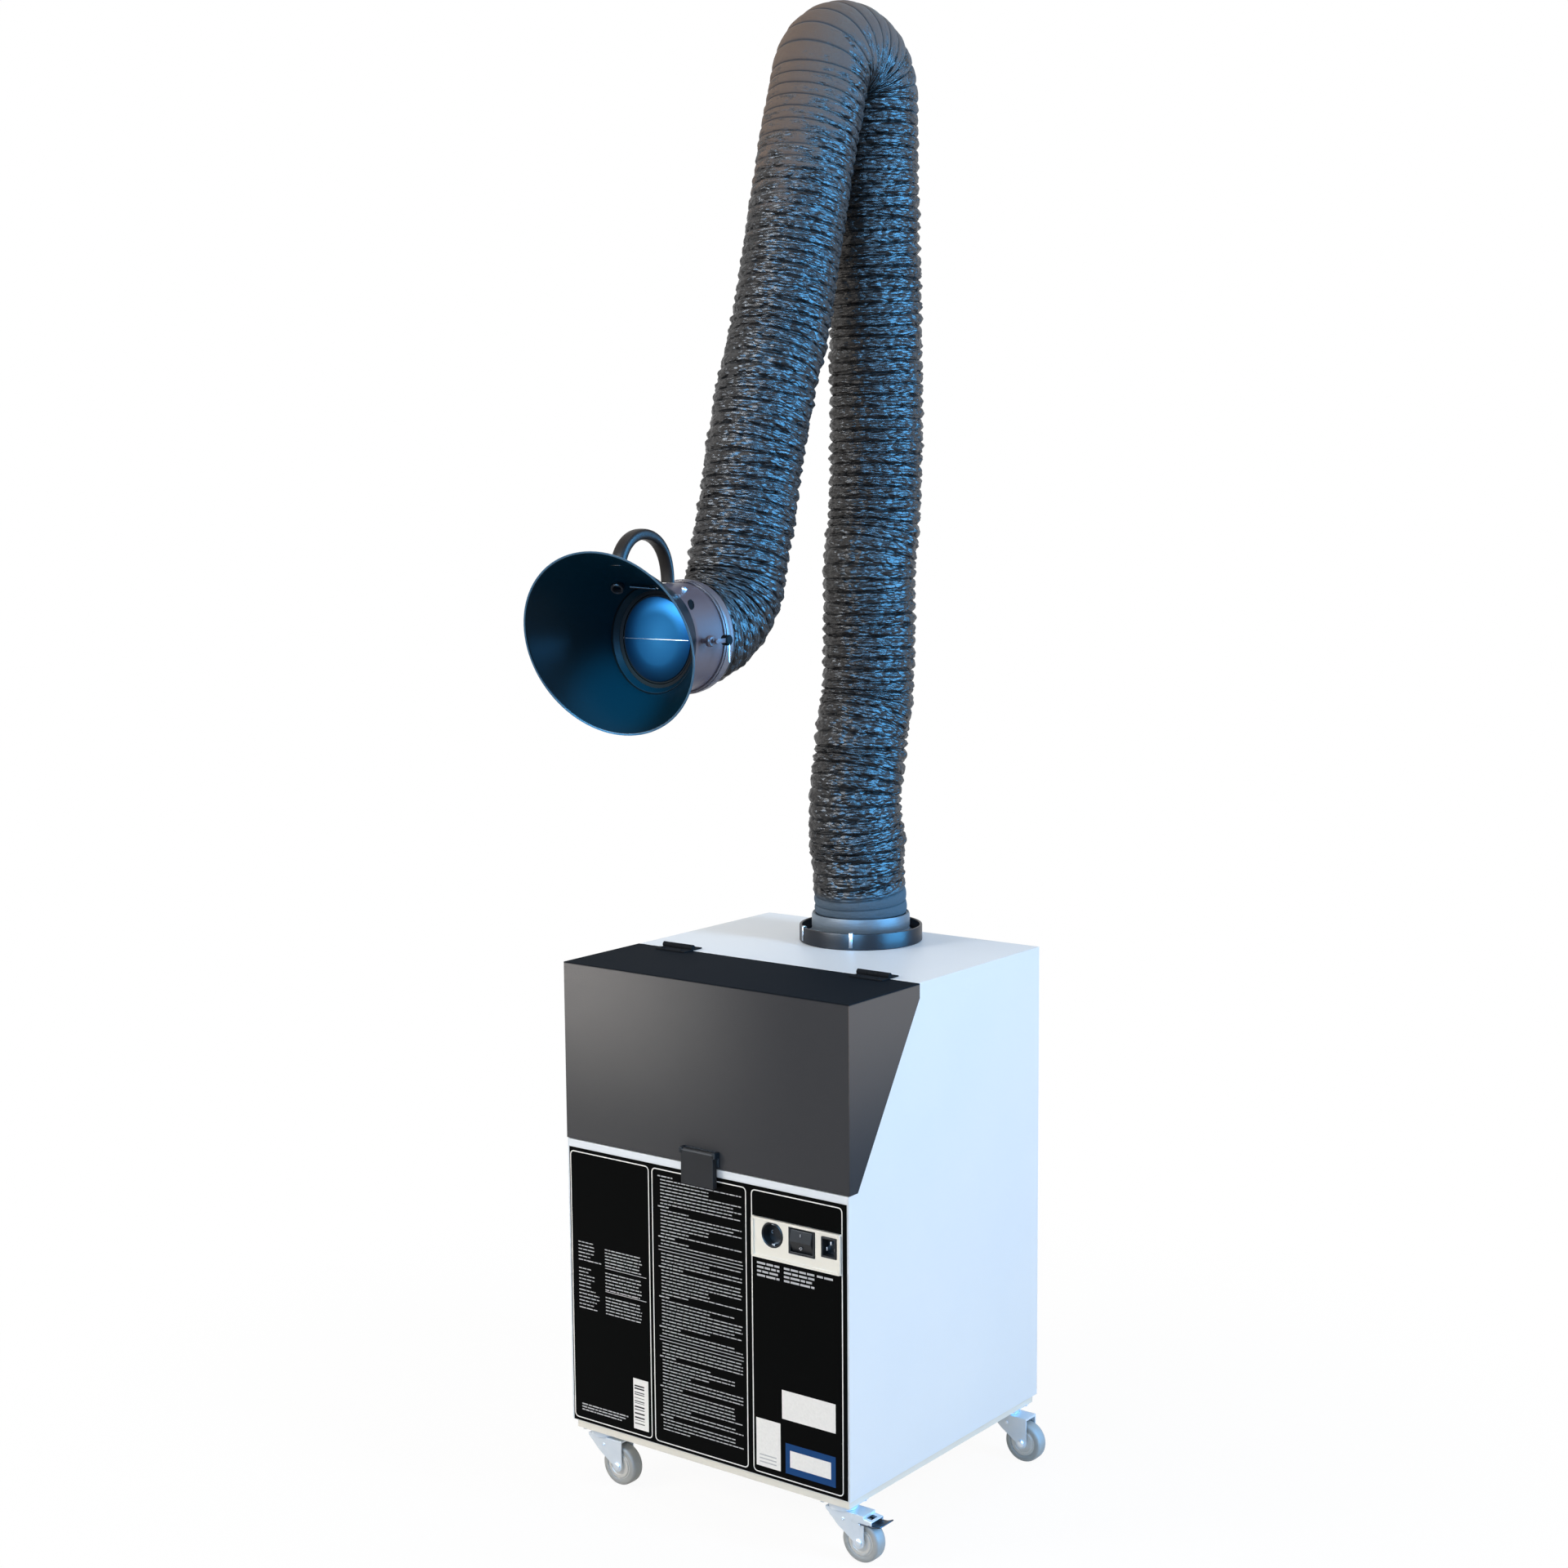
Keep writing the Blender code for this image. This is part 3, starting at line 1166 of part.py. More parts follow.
line = hose_line()
stations = len(line) - 1
shoulder_end_share, elbow_start_share, elbow_end_share, wrist_start_share = 0.075, 0.495, 0.660, 0.915


def valley(share):
    return 2 * round(share * stations / 2)


split_shares = (shoulder_end_share, elbow_start_share, elbow_end_share, wrist_start_share)
cuts = [0] + [valley(share) for share in split_shares] + [stations]
names = ("hose_base", "hose_lower", "hose_elbow", "hose_upper", "hose_wrist")
bore_steps = (4, 8, 1, 8, 2)
for name, first, last, step in zip(names, cuts, cuts[1:], bore_steps):
    hose_piece(name, line, first, last, step)

corners = [
    piece.location + vertex.co
    for piece in machine.children if not piece.hide_render
    for vertex in piece.data.vertices
]
machine.location = (
    -(min(c.x for c in corners) + max(c.x for c in corners)) / 2,
    -(min(c.y for c in corners) + max(c.y for c in corners)) / 2,
    -min(c.z for c in corners),
)
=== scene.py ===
import json
import math
import random
from bisect import bisect

import bmesh
import bpy
from mathutils import Matrix, Vector, noise

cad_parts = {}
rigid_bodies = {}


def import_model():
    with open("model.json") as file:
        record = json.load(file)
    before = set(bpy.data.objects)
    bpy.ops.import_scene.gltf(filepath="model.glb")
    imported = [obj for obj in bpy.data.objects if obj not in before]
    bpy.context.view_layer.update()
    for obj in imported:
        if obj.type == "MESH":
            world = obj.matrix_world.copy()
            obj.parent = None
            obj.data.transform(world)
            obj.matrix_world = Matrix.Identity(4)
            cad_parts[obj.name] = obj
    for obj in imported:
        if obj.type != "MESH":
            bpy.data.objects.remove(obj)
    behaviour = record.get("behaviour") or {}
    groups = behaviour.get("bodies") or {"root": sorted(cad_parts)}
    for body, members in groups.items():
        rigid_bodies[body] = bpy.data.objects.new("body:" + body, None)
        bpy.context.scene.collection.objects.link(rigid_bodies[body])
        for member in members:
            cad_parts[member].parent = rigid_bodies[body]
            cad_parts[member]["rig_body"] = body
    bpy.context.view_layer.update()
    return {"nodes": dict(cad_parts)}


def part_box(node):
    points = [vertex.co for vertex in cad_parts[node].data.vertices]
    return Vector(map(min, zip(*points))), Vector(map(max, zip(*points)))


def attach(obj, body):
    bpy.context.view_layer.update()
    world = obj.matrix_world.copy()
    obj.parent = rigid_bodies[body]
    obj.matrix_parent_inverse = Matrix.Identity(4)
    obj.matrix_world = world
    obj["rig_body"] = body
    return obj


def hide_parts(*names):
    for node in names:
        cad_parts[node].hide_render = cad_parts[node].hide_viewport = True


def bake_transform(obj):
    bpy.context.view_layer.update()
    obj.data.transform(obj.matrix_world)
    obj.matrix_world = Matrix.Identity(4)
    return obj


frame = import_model()
nodes = frame["nodes"]
scene = bpy.context.scene


# The studio
# The extractor stands on a pale floor and is seen from its front right corner, a little from above. Three
# soft lamps light it. Three more are seen only as sheen, and a narrow cyan one lights the hood's inside.

def linear(code):
    """An sRGB hex colour as linear RGBA."""
    channels = [int(code[i:i + 2], 16) / 255 for i in (0, 2, 4)]
    return [c / 12.92 if c <= 0.04045 else ((c + 0.055) / 1.055) ** 2.4 for c in channels] + [1.0]


def plug(node, sockets):
    """Fill a node's sockets: another node's output is linked, and any other value is set."""
    for socket, value in sockets.items():
        if isinstance(value, bpy.types.NodeSocket):
            node.id_data.links.new(value, node.inputs[socket])
        else:
            node.inputs[socket].default_value = value


def add(tree, kind, sockets, **settings):
    """Add a shader node with its settings and what fills its sockets; returns its outputs."""
    made = tree.nodes.new("ShaderNode" + kind)
    for name, value in settings.items():
        setattr(made, name, value)
    plug(made, sockets)
    return made.outputs


def finish(name, values):
    """A new material whose shader has these values; returns the material, its node tree and the shader."""
    made = bpy.data.materials.new(name)
    made.use_nodes = True
    shader = made.node_tree.nodes["Principled BSDF"]
    plug(shader, values)
    made.diffuse_color = shader.inputs["Base Color"].default_value
    return made, made.node_tree, shader


def piece(name, bm, *materials, sharp=35):
    """Turn a finished bmesh into an object at the origin."""
    mesh = bpy.data.meshes.new(name)
    bm.to_mesh(mesh)
    bm.free()
    for made in materials:
        mesh.materials.append(made)
    mesh.shade_smooth()
    mesh.set_sharp_from_angle(angle=math.radians(sharp))
    obj = bpy.data.objects.new(name, mesh)
    scene.collection.objects.link(obj)
    return obj


scene.view_settings.view_transform = "Standard"
turn, dip, roll = 0.6493, 0.1250, -0.0079
ahead = Vector((-math.sin(turn) * math.cos(dip), math.cos(turn) * math.cos(dip), -math.sin(dip)))
level = Vector((math.cos(turn), math.sin(turn), 0))
upright = level.cross(ahead)
across = level * math.cos(roll) + upright * math.sin(roll)
over = upright * math.cos(roll) - level * math.sin(roll)
camera = bpy.data.objects.new("camera", bpy.data.cameras.new("camera"))
scene.collection.objects.link(camera)
camera.matrix_world = Matrix((across, over, -ahead)).transposed().to_4x4()
camera.location = (2.37368, -3.08857, 1.70248)
camera.data.sensor_width = 36
camera.data.lens = 55.04
scene.camera = camera
soft_step = {"interpolation_type": "SMOOTHSTEP"}


def rays_that_see(tree):
    """One for the camera, mirrors and glass, which see white paper all round; nought for other light."""
    rays = add(tree, "LightPath", {})
    seen = add(tree, "Math", {0: rays["Is Camera Ray"], 1: rays["Is Glossy Ray"]}, operation="MAXIMUM")
    return add(tree, "Math", {0: seen[0], 1: rays["Is Transmission Ray"]}, operation="MAXIMUM")[0]


world = bpy.data.worlds.new("studio")
scene.world = world
world.use_nodes = True
tree = world.node_tree
paper = add(tree, "Background", {"Color": (1, 1, 1, 1), "Strength": 1.0})
air = add(tree, "Background", {"Color": linear("EEF1F4"), "Strength": 0.50})
sky = add(tree, "MixShader", {0: rays_that_see(tree), 1: air[0], 2: paper[0]})
plug(tree.nodes["World Output"], {"Surface": sky[0]})

# The floor keeps a faint shadow round the casters and fades into the white background further out
floor_bm = bmesh.new()
bmesh.ops.create_circle(floor_bm, cap_ends=True, radius=40, segments=96)
floor_paint, tree, shader = finish("studio_floor", {
    "Base Color": linear("F4F5F6"), "Roughness": 0.9, "Specular IOR Level": 0.0})
away = add(tree, "VectorMath", {0: add(tree, "TexCoord", {})["Object"]}, operation="LENGTH")
white_share = add(tree, "MapRange", {0: away["Value"], 1: 0.5, 2: 1.8, 3: 0.94, 4: 1.0}, **soft_step)
share = add(tree, "Math", {0: rays_that_see(tree), 1: white_share[0]}, operation="MULTIPLY")
glow = add(tree, "Emission", {"Color": (1, 1, 1, 1), "Strength": 1.0})
mixed = add(tree, "MixShader", {0: share[0], 1: shader.outputs[0], 2: glow[0]})
plug(tree.nodes["Material Output"], {"Surface": mixed[0]})
piece("floor", floor_bm, floor_paint)


def lamp(name, kind, place, aim, watts, colour):
    """A lamp of one kind, aimed at a spot; returns it and its data."""
    data = bpy.data.lights.new(name, kind)
    data.energy, data.color = watts, linear(colour)[:3]
    made = bpy.data.objects.new(name, data)
    scene.collection.objects.link(made)
    made.location = place
    made.rotation_euler = (Vector(aim) - Vector(place)).to_track_quat("-Z", "Y").to_euler()
    return made, data


# The sheen lamps are seen in shiny surfaces and light no dull ones
for name, place, aim, width, height, watts, colour in (
        ("side_lamp", (3.6, 0.4, 2.9), (0, 0.1, 1.3), 0.7, 1.8, 92, "C6DFFA"),
        ("left_lamp", (-1.7, -2.4, 2.0), (0, 0, 1.1), 0.8, 0.8, 50, "FFF5EA"),
        ("top_lamp", (-0.6, -0.4, 5.2), (0, 0.1, 0.9), 1.6, 1.6, 36, "FFF8F0"),
        ("blue_sheen", (3.4, 0.9, 2.1), (0, 0.1, 1.7), 3.0, 3.6, 2150, "46A4E8"),
        ("left_sheen", (-1.3, -4.2, 3.0), (0, 0, 1.7), 1.8, 1.8, 800, "D6E4F2"),
        ("front_sheen", (1.5, -3.8, 2.5), (0, 0.1, 1.6), 2.0, 2.2, 1200, "6AAEE8")):
    made, data = lamp(name, "AREA", place, aim, watts, colour)
    data.shape, data.size, data.size_y = "RECTANGLE", width, height
    made.visible_diffuse = not name.endswith("sheen")
data = lamp("hood_spot", "SPOT", (0.9, -2.7, 2.2), (-0.065, -0.295, 1.375), 1000, "58E6FF")[1]
data.shadow_soft_size, data.spot_size, data.spot_blend = 0.02, math.radians(4.2), 1.0


# The cabinet
# A box of folded sheet steel: the shell with its deck, a front and a back panel, all in white powder coat,
# and a cream floor tray that shows as a strip under the front. Pan-head screws hold the back panel.

def coat(made, *names):
    """Give CAD nodes a material in place of the one they came with."""
    for name in names:
        mesh = nodes[name].data
        mesh.materials.clear()
        mesh.materials.append(made)


def surface(name, values, patches, tones=(), gloss=(), grain=(), dents=()):
    """A finish that drifts in patches between two tones and two roughnesses, with small dents in it.

    Patches and grain are a noise's scale, per metre, and its detail; dents are a strength and a depth.
    Without a grain, the patches make the dents.
    """
    made, tree, shader = finish(name, values)
    place = add(tree, "TexCoord", {})["Object"]
    drift = add(tree, "TexNoise", {"Scale": patches[0], "Detail": patches[1], "Vector": place})["Fac"]
    if tones:
        shades = add(tree, "Mix", {0: drift, 6: tones[0], 7: tones[1]}, data_type="RGBA")
        plug(shader, {"Base Color": shades[2]})
    if gloss:
        plug(shader, {"Roughness": add(tree, "MapRange", {0: drift, 3: gloss[0], 4: gloss[1]})[0]})
    if grain:
        drift = add(tree, "TexNoise", {"Scale": grain[0], "Detail": grain[1], "Vector": place})["Fac"]
    if dents:
        bump = add(tree, "Bump", {"Strength": dents[0], "Distance": dents[1], "Height": drift})
        plug(shader, {"Normal": bump[0]})
    return made


def orange_peel(name, colour, tint, roughness, ripple, strength, shine=0.5):
    """Powder coat: a plastic skin with slow drifts of shade and a ripple, whose width is in millimetres."""
    return surface(name, {"IOR": 1.5, "Specular IOR Level": shine}, (4.0, 3.0),
                   (linear(colour), linear(tint)), (roughness - 0.05, roughness + 0.07),
                   (1000 / ripple, 2.0), (strength, 0.0004))


def eased(name, source, width, made, segments=2, sharp=40, wider=1.0):
    """A copy of a CAD node with its flat faces made whole and its edges rounded, in the node's place."""
    bm = bmesh.new()
    bm.from_mesh(nodes[source].data)
    middle = sum(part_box(source), Vector()) / 2
    bmesh.ops.scale(bm, verts=bm.verts, vec=(wider, 1, 1), space=Matrix.Translation(-middle))
    bmesh.ops.remove_doubles(bm, verts=bm.verts, dist=0.00001)
    bmesh.ops.dissolve_limit(bm, angle_limit=math.radians(1), verts=bm.verts, edges=bm.edges)
    obj = piece(name, bm, made)
    edges = round_edges(obj, width, segments)
    edges.limit_method, edges.angle_limit = "ANGLE", math.radians(sharp)
    edges.harden_normals = True
    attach(obj, nodes[source]["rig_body"])
    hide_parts(source)


def round_edges(obj, width, segments=2):
    edges = obj.modifiers.new("edges", "BEVEL")
    edges.width, edges.segments, edges.profile = width, segments, 0.5
    return edges


def thicken(obj, thickness, offset):
    wall = obj.modifiers.new("wall", "SOLIDIFY")
    wall.thickness, wall.offset = thickness, offset


def lathe(bm, profile, centre, axis, steps=40, material=0):
    """Turn a closed profile of (radius, height) points about an axis, as one closed body."""
    before = set(bm.verts)
    ring = [bm.verts.new((radius, 0, height)) for radius, height in profile]
    edges = [bm.edges.new(pair) for pair in zip(ring, ring[1:] + ring[:1])]
    bmesh.ops.spin(bm, geom=ring + edges, cent=(0, 0, 0), axis=(0, 0, 1), angle=math.tau, steps=steps,
                   use_merge=True)
    bmesh.ops.remove_doubles(bm, verts=[v for v in bm.verts if v not in before], dist=0.000001)
    made = [v for v in bm.verts if v not in before]
    loose = {e for v in made for e in v.link_edges if not e.link_faces}
    bmesh.ops.delete(bm, geom=list(loose), context="EDGES")
    made = [v for v in made if v.is_valid]
    faces = list({f for v in made for f in v.link_faces})
    for face in faces:
        face.material_index = material
    bmesh.ops.recalc_face_normals(bm, faces=faces)
    aim = Vector(axis).to_track_quat("Z", "Y").to_matrix().to_4x4()
    bmesh.ops.transform(bm, verts=made, matrix=Matrix.Translation(Vector(centre)) @ aim)


def turned(*shape):
    """A new bmesh that holds one lathed body."""
    bm = bmesh.new()
    lathe(bm, *shape)
    return bm


def screw(bm, centre, axis, radius):
    """A pan head with a hexagon recess, on the face that it holds."""
    high, well = radius * 0.62, radius * 0.42
    lathe(bm, [(0, 0), (radius, 0), (radius, high * 0.35), (radius * 0.82, high * 0.85), (radius * 0.6, high),
               (well, high), (well, high * 0.35), (0, high * 0.35)], centre, axis, 18)


def plated(name, colour, shade, roughness, metallic=1.0, shine=0.5):
    """Zinc plate: a bright metal skin, clouded in patches a few centimetres wide."""
    return surface(name, {"Metallic": metallic, "Specular IOR Level": shine}, (30.0, 4.0),
                   (linear(colour), linear(shade)), (roughness - 0.08, roughness + 0.12), (900.0, 2.0),
                   (0.15, 0.0002))


shell_low, shell_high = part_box("cabinet_shell")
middle_x = (shell_low.x + shell_high.x) / 2

# The white coat looks even and faintly blue; its ripple only shows where a lamp is mirrored in it
white_coat = orange_peel("white_powder_coat", "E9F0F6", "E1E9F1", 0.40, 2.2, 0.25, 0.2)
eased("shell", "cabinet_shell", 0.0007, white_coat)
eased("panel_front", "front_panel", 0.0005, white_coat)
eased("panel_back", "back_panel", 0.0005, white_coat)
# The tray's coat is a warmer, duller white
eased("tray", "base_tray", 0.0008, orange_peel("cream_powder_coat", "EAE7DD", "E2DED1", 0.45, 2.5, 0.3))

# Zinc shows as a light, cold, slightly cloudy metal
zinc = plated("zinc_plated_steel", "D3D8DD", "B4BAC1", 0.28)
panel_low, panel_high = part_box("back_panel")
panel_screws = bmesh.new()
for k in range(5):
    height = panel_low.z + 0.02 + k * (panel_high.z - panel_low.z - 0.04) / 4
    for x in (panel_low.x + 0.012, panel_high.x - 0.012):
        screw(panel_screws, (x, panel_high.y, height), (0, 1, 0), 0.0042)
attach(piece("panel_screws", panel_screws, zinc), "cabinet")

# The lid
# The lid is one folded steel hood over the filter space, in black powder coat with a fine sandy texture.
# Two small leaf hinges at the back hold it to the deck, and a flat pull latch holds it shut.

# The black coat is sandy, so it mirrors nothing. On the lid, painted light greys the upright faces, most at
# the upper left, and painted shade makes its top blacker
black_coat = orange_peel("black_powder_coat", "1E1E1F", "18181A", 0.80, 1.3, 0.55, 0.03)
lid_coat_painted_light = orange_peel("black_coat_painted_light", "828180", "747373", 0.75, 1.3, 0.55, 0.03)
tree = lid_coat_painted_light.node_tree
shader = tree.nodes["Principled BSDF"]
painted_light_tone = shader.inputs["Base Color"].links[0].from_socket
lid_low, lid_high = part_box("lid")
spread = add(tree, "SeparateXYZ", {0: add(tree, "TexCoord", {})["Object"]})
to_right = add(tree, "MapRange", {0: spread[0], 1: lid_low.x, 2: lid_high.x - 0.08}, **soft_step)
to_foot = add(tree, "MapRange", {0: spread[2], 1: lid_high.z, 2: lid_low.z}, **soft_step)
on_wing = add(tree, "MapRange", {0: spread[0], 1: lid_high.x - 0.0016, 2: lid_high.x - 0.0004})
on_top = add(tree, "MapRange", {0: spread[2], 1: lid_high.z - 0.0030, 2: lid_high.z - 0.0010})
# Painted light: the front is lightest at the upper left and darker to the right and down; the wing is lighter
# at its top
low_left = add(tree, "Mix", {0: to_foot[0], 6: painted_light_tone, 7: linear("4C4C4D")}, data_type="RGBA")
front = add(tree, "Mix", {0: to_right[0], 6: low_left[2], 7: linear("3F3F41")}, data_type="RGBA")
wing = add(tree, "Mix", {0: to_foot[0], 6: linear("6C635C"), 7: linear("3D3B3C")}, data_type="RGBA")
faces = add(tree, "Mix", {0: on_wing[0], 6: front[2], 7: wing[2]}, data_type="RGBA")
# Painted shade: the lid's top is near black
shades = add(tree, "Mix", {0: on_top[0], 6: faces[2], 7: linear("0A0D11")}, data_type="RGBA")
plug(shader, {"Base Color": shades[2]})
eased("lid_cover", "lid", 0.0012, lid_coat_painted_light)
hinge_screws, lid_screws = bmesh.new(), bmesh.new()
for side in ("left", "right"):
    eased(f"hinge_fixed_{side}", f"hinge_leaf_{side}", 0.0004, black_coat)
    eased(f"hinge_moving_{side}", f"hinge_knuckle_{side}", 0.0004, black_coat)
    fixed_low, fixed_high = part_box(f"hinge_leaf_{side}")
    moving_low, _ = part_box(f"hinge_knuckle_{side}")
    for x in (fixed_low.x + 0.012, fixed_high.x - 0.012):
        screw(hinge_screws, (x, fixed_high.y - 0.007, fixed_low.z + 0.0015), (0, 0, 1), 0.0034)
        screw(lid_screws, (x, moving_low.y + 0.007, moving_low.z + 0.0015), (0, 0, 1), 0.0034)
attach(piece("hinge_screws", hinge_screws, black_coat), "cabinet")
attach(piece("lid_screws", lid_screws, black_coat), "lid")


def moulded(name, colour, roughness, grain, strength=0.25, shine=0.5):
    """Moulded plastic: one colour, a fine spark-eroded grain in millimetres, small changes of gloss."""
    return surface(name, {"Base Color": linear(colour), "IOR": 1.53, "Specular IOR Level": shine},
                   (35.0, 2.0), (), (roughness - 0.06, roughness + 0.08), (1000 / grain, 3.0),
                   (strength, 0.0003))


# The latch is a little lighter and duller than the lid behind it
latch_plastic = moulded("moulded_latch_plastic", "2A2A2B", 0.45, 0.8, shine=0.1)
# The latch's base plate is painted near black as the shadow behind the pull
latch_base_painted_shadow = moulded("moulded_latch_base", "0E0E0F", 0.5, 0.8, shine=0.2)
eased("latch_plate", "latch_base", 0.0006, latch_base_painted_shadow, wider=1.07)
eased("latch_pull", "latch_flap", 0.0012, latch_plastic, segments=3, wider=1.17)
coat(zinc, "latch_keeper")

# The front foil
# A black polyester foil on the front panel, split in three by white printed frames. Rows of plain bars
# stand for its tables and notes, and low down are three pale plates, two with bars, and a blue-edged one.
foil_low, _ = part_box("label_foil")

# The foil is a deep black that barely mirrors; where it was pressed down unevenly it waves a little
foil, tree, shader = finish("black_polyester_foil", {
    "Base Color": linear("050606"), "Roughness": 0.2, "IOR": 1.6, "Specular IOR Level": 0.02})
place = add(tree, "TexCoord", {})["Object"]
press = add(tree, "TexNoise", {"Scale": 7.0, "Detail": 2.0, "Vector": place})
film = add(tree, "TexNoise", {"Scale": 1000 / 1.2, "Detail": 2.0, "Vector": place})
lay = add(tree, "Math", {0: press["Fac"], 1: 6.0}, operation="MULTIPLY")
both = add(tree, "Math", {0: film["Fac"], 1: lay[0]}, operation="ADD")
bump = add(tree, "Bump", {"Strength": 0.12, "Distance": 0.0004, "Height": both[0]})
plug(shader, {"Normal": bump[0]})
coat(foil, "label_foil")


def ink(name, colour):
    """Screen ink: a thin matt layer, slightly uneven where the mesh let less through."""
    thin = [c * 0.86 for c in linear(colour)[:3]] + [1.0]
    return surface(name, {"Roughness": 0.5, "IOR": 1.5, "Specular IOR Level": 0.1}, (260.0, 2.0),
                   (linear(colour), thin))


white_ink, grey_ink = ink("white_screen_ink", "F8F8F6"), ink("grey_screen_ink", "C4C6CA")
blue_ink, dark_ink = ink("blue_screen_ink", "0C417B"), ink("dark_screen_ink", "2A2A2A")
ink_back, ink_face = foil_low.y - 0.00002, foil_low.y - 0.00012
foil_z = shell_low.z


def slab(bm, x0, x1, z0, z1, material=0, lift=0.0):
    """A flat bar of ink on the front, from two corners counted from the cabinet's middle and lower edge."""
    size = Vector((x1 - x0, ink_back - ink_face + lift, z1 - z0))
    centre = Vector((middle_x + (x0 + x1) / 2, (ink_back + ink_face - lift) / 2, foil_z + (z0 + z1) / 2))
    made = bmesh.ops.create_cube(bm, size=1, matrix=Matrix.Translation(centre) @ Matrix.Diagonal((*size, 1)))
    for f in {f for v in made["verts"] for f in v.link_faces}:
        f.material_index = material
    return made["verts"]


def round_frame(bm, x0, x1, z0, z1, radius, width, lift=0.0):
    """A line or a raised rim round a rectangle with rounded corners."""
    verts = slab(bm, x0, x1, z0, z1, 0, lift)
    corners = {e for v in verts for e in v.link_edges if abs(e.verts[0].co.y - e.verts[1].co.y) > 0.00005}
    bmesh.ops.bevel(bm, geom=list(corners), offset=radius, segments=6, profile=0.5, affect="EDGES",
                    material=-1)
    low, high = middle_x + x0, middle_x + x1
    plates = [f for f in bm.faces if len(f.verts) > 8 and low < f.calc_center_median().x < high]
    bmesh.ops.inset_individual(bm, faces=plates, thickness=width, use_even_offset=True)
    rims = list({e for f in plates for e in f.edges})
    bmesh.ops.delete(bm, geom=plates, context="FACES_ONLY")
    bmesh.ops.bridge_loops(bm, edges=rims)


lines = bmesh.new()
for x0, x1 in ((-0.287, -0.113), (-0.107, 0.091), (0.101, 0.281)):
    round_frame(lines, x0, x1, 0.007, 0.477, 0.008, 0.0018)
bmesh.ops.recalc_face_normals(lines, faces=lines.faces)
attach(piece("foil_frames", lines, white_ink), "cabinet")

rows = bmesh.new()
chance = random.Random(7)
table_x0, table_x1, line_pitch = -0.094, 0.083, 0.0057
small_row, row = 0.0017, 0.0018


def word_row(bm, x0, x1, z, height, fill=1.0, shortest=0.004, gap=0.0018, material=0):
    """A row of short bars of different lengths, ending before x1 when the row isn't full."""
    x, stop = x0, x0 + (x1 - x0) * fill
    while x < stop - shortest / 2:
        word = min(chance.uniform(shortest, shortest + 0.012), stop - x)
        slab(bm, x, x + word, z, z + height, material)
        x += word + gap


for n in range(77):
    z = 0.464 - n * line_pitch
    if n in (21, 22, 48, 49):
        slab(rows, table_x0, table_x1, z + 0.0005, z + 0.0017)
    elif n % 9 == 0:
        word_row(rows, table_x0, table_x1, z, 0.0020, chance.uniform(0.12, 0.3))
    else:
        word_row(rows, table_x0 + 0.0055, 0.081, z, small_row, chance.choice((1, 1, 1, 0.9, 0.6, 0.35)))
for top, low, label_top in ((0.3150, 0.2875, 0.3190), (0.2743, 0.2451, 0.2730), (0.2319, 0.2037, 0.2350)):
    for k in range(6):
        word_row(rows, -0.272, -0.218, label_top - 0.0062 * k, small_row, chance.uniform(0.4, 0.95))
        word_row(rows, -0.2125, -0.131, top - k * (top - low) / 5, row, chance.uniform(0.93, 1.0))
for z in (0.2832, 0.2424):
    slab(rows, -0.2125, -0.122, z, z + 0.0011)
for k, stop in enumerate((-0.166, -0.172, -0.181)):
    word_row(rows, -0.270, stop, 0.0325 - 0.005 * k, 0.0021)
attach(piece("foil_rows", rows, grey_ink), "cabinet")

plates = bmesh.new()
slab(plates, 0.160, 0.266, 0.108, 0.156)
slab(plates, 0.1075, 0.1565, 0.0185, 0.0985)
slab(plates, -0.154, -0.121, 0.017, 0.105)
slab(plates, 0.1665, 0.2655, 0.0185, 0.069, 1)
slab(plates, 0.1755, 0.2565, 0.0300, 0.0580, 0, 0.00008)
for x0, x1, count in ((0.112, 0.157, 4), (0.166, 0.226, 4), (0.231, 0.262, 1)):
    for k in range(count):
        word_row(plates, x0, x1, 0.3560 - 0.0068 * k, 0.0034, shortest=0.008, gap=0.0022, material=2)
for k in range(3):
    slab(plates, 0.114, 0.148, 0.025 + 0.006 * k, 0.027 + 0.006 * k, 2, 0.00004)
z = 0.026
while z < 0.092:
    thick = chance.choice((0.0010, 0.0016, 0.0026))
    slab(plates, -0.1515, -0.1300, z, z + thick, 3, 0.00004)
    z += thick + chance.choice((0.0020, 0.0028, 0.0046))
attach(piece("foil_plates", plates, white_ink, blue_ink, grey_ink, dark_ink), "cabinet")

# The socket plate
# A cream plastic plate is snapped into the front. It carries a round appliance socket, a wide rocker switch
# and a mains inlet, all moulded in black.

# The cream plastic is matt and a little yellow; the black one has a soft gloss on its edges
cream_plastic = moulded("moulded_cream_plastic", "EDEADF", 0.4, 1.0, 0.15)
black_plastic = moulded("moulded_black_plastic", "19191A", 0.38, 0.8, shine=0.2)
eased("plate", "socket_plate", 0.0009, cream_plastic, segments=3)
eased("switch_bezel", "switch_frame", 0.0008, black_plastic)
eased("switch_key", "switch_rocker", 0.0010, black_plastic, segments=3)
eased("inlet_body", "mains_inlet", 0.0006, black_plastic)
plate_low, plate_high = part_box("socket_plate")
rim = bmesh.new()
round_frame(rim, plate_low.x - middle_x, plate_high.x - middle_x, plate_low.z - foil_z, plate_high.z - foil_z,
            0.003, 0.0042, foil_low.y - plate_low.y + 0.0022)
bmesh.ops.recalc_face_normals(rim, faces=rim.faces)
rim = piece("plate_rim", rim, cream_plastic)
round_edges(rim, 0.0004)
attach(rim, "cabinet")
socket_low, socket_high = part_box("service_socket")
socket_x, socket_z = (socket_low.x + socket_high.x) / 2, (socket_low.z + socket_high.z) / 2
socket_y = socket_low.y
radius, depth, well, lip = (socket_high.x - socket_low.x) / 2, socket_high.y - socket_low.y, 0.016, 0.003
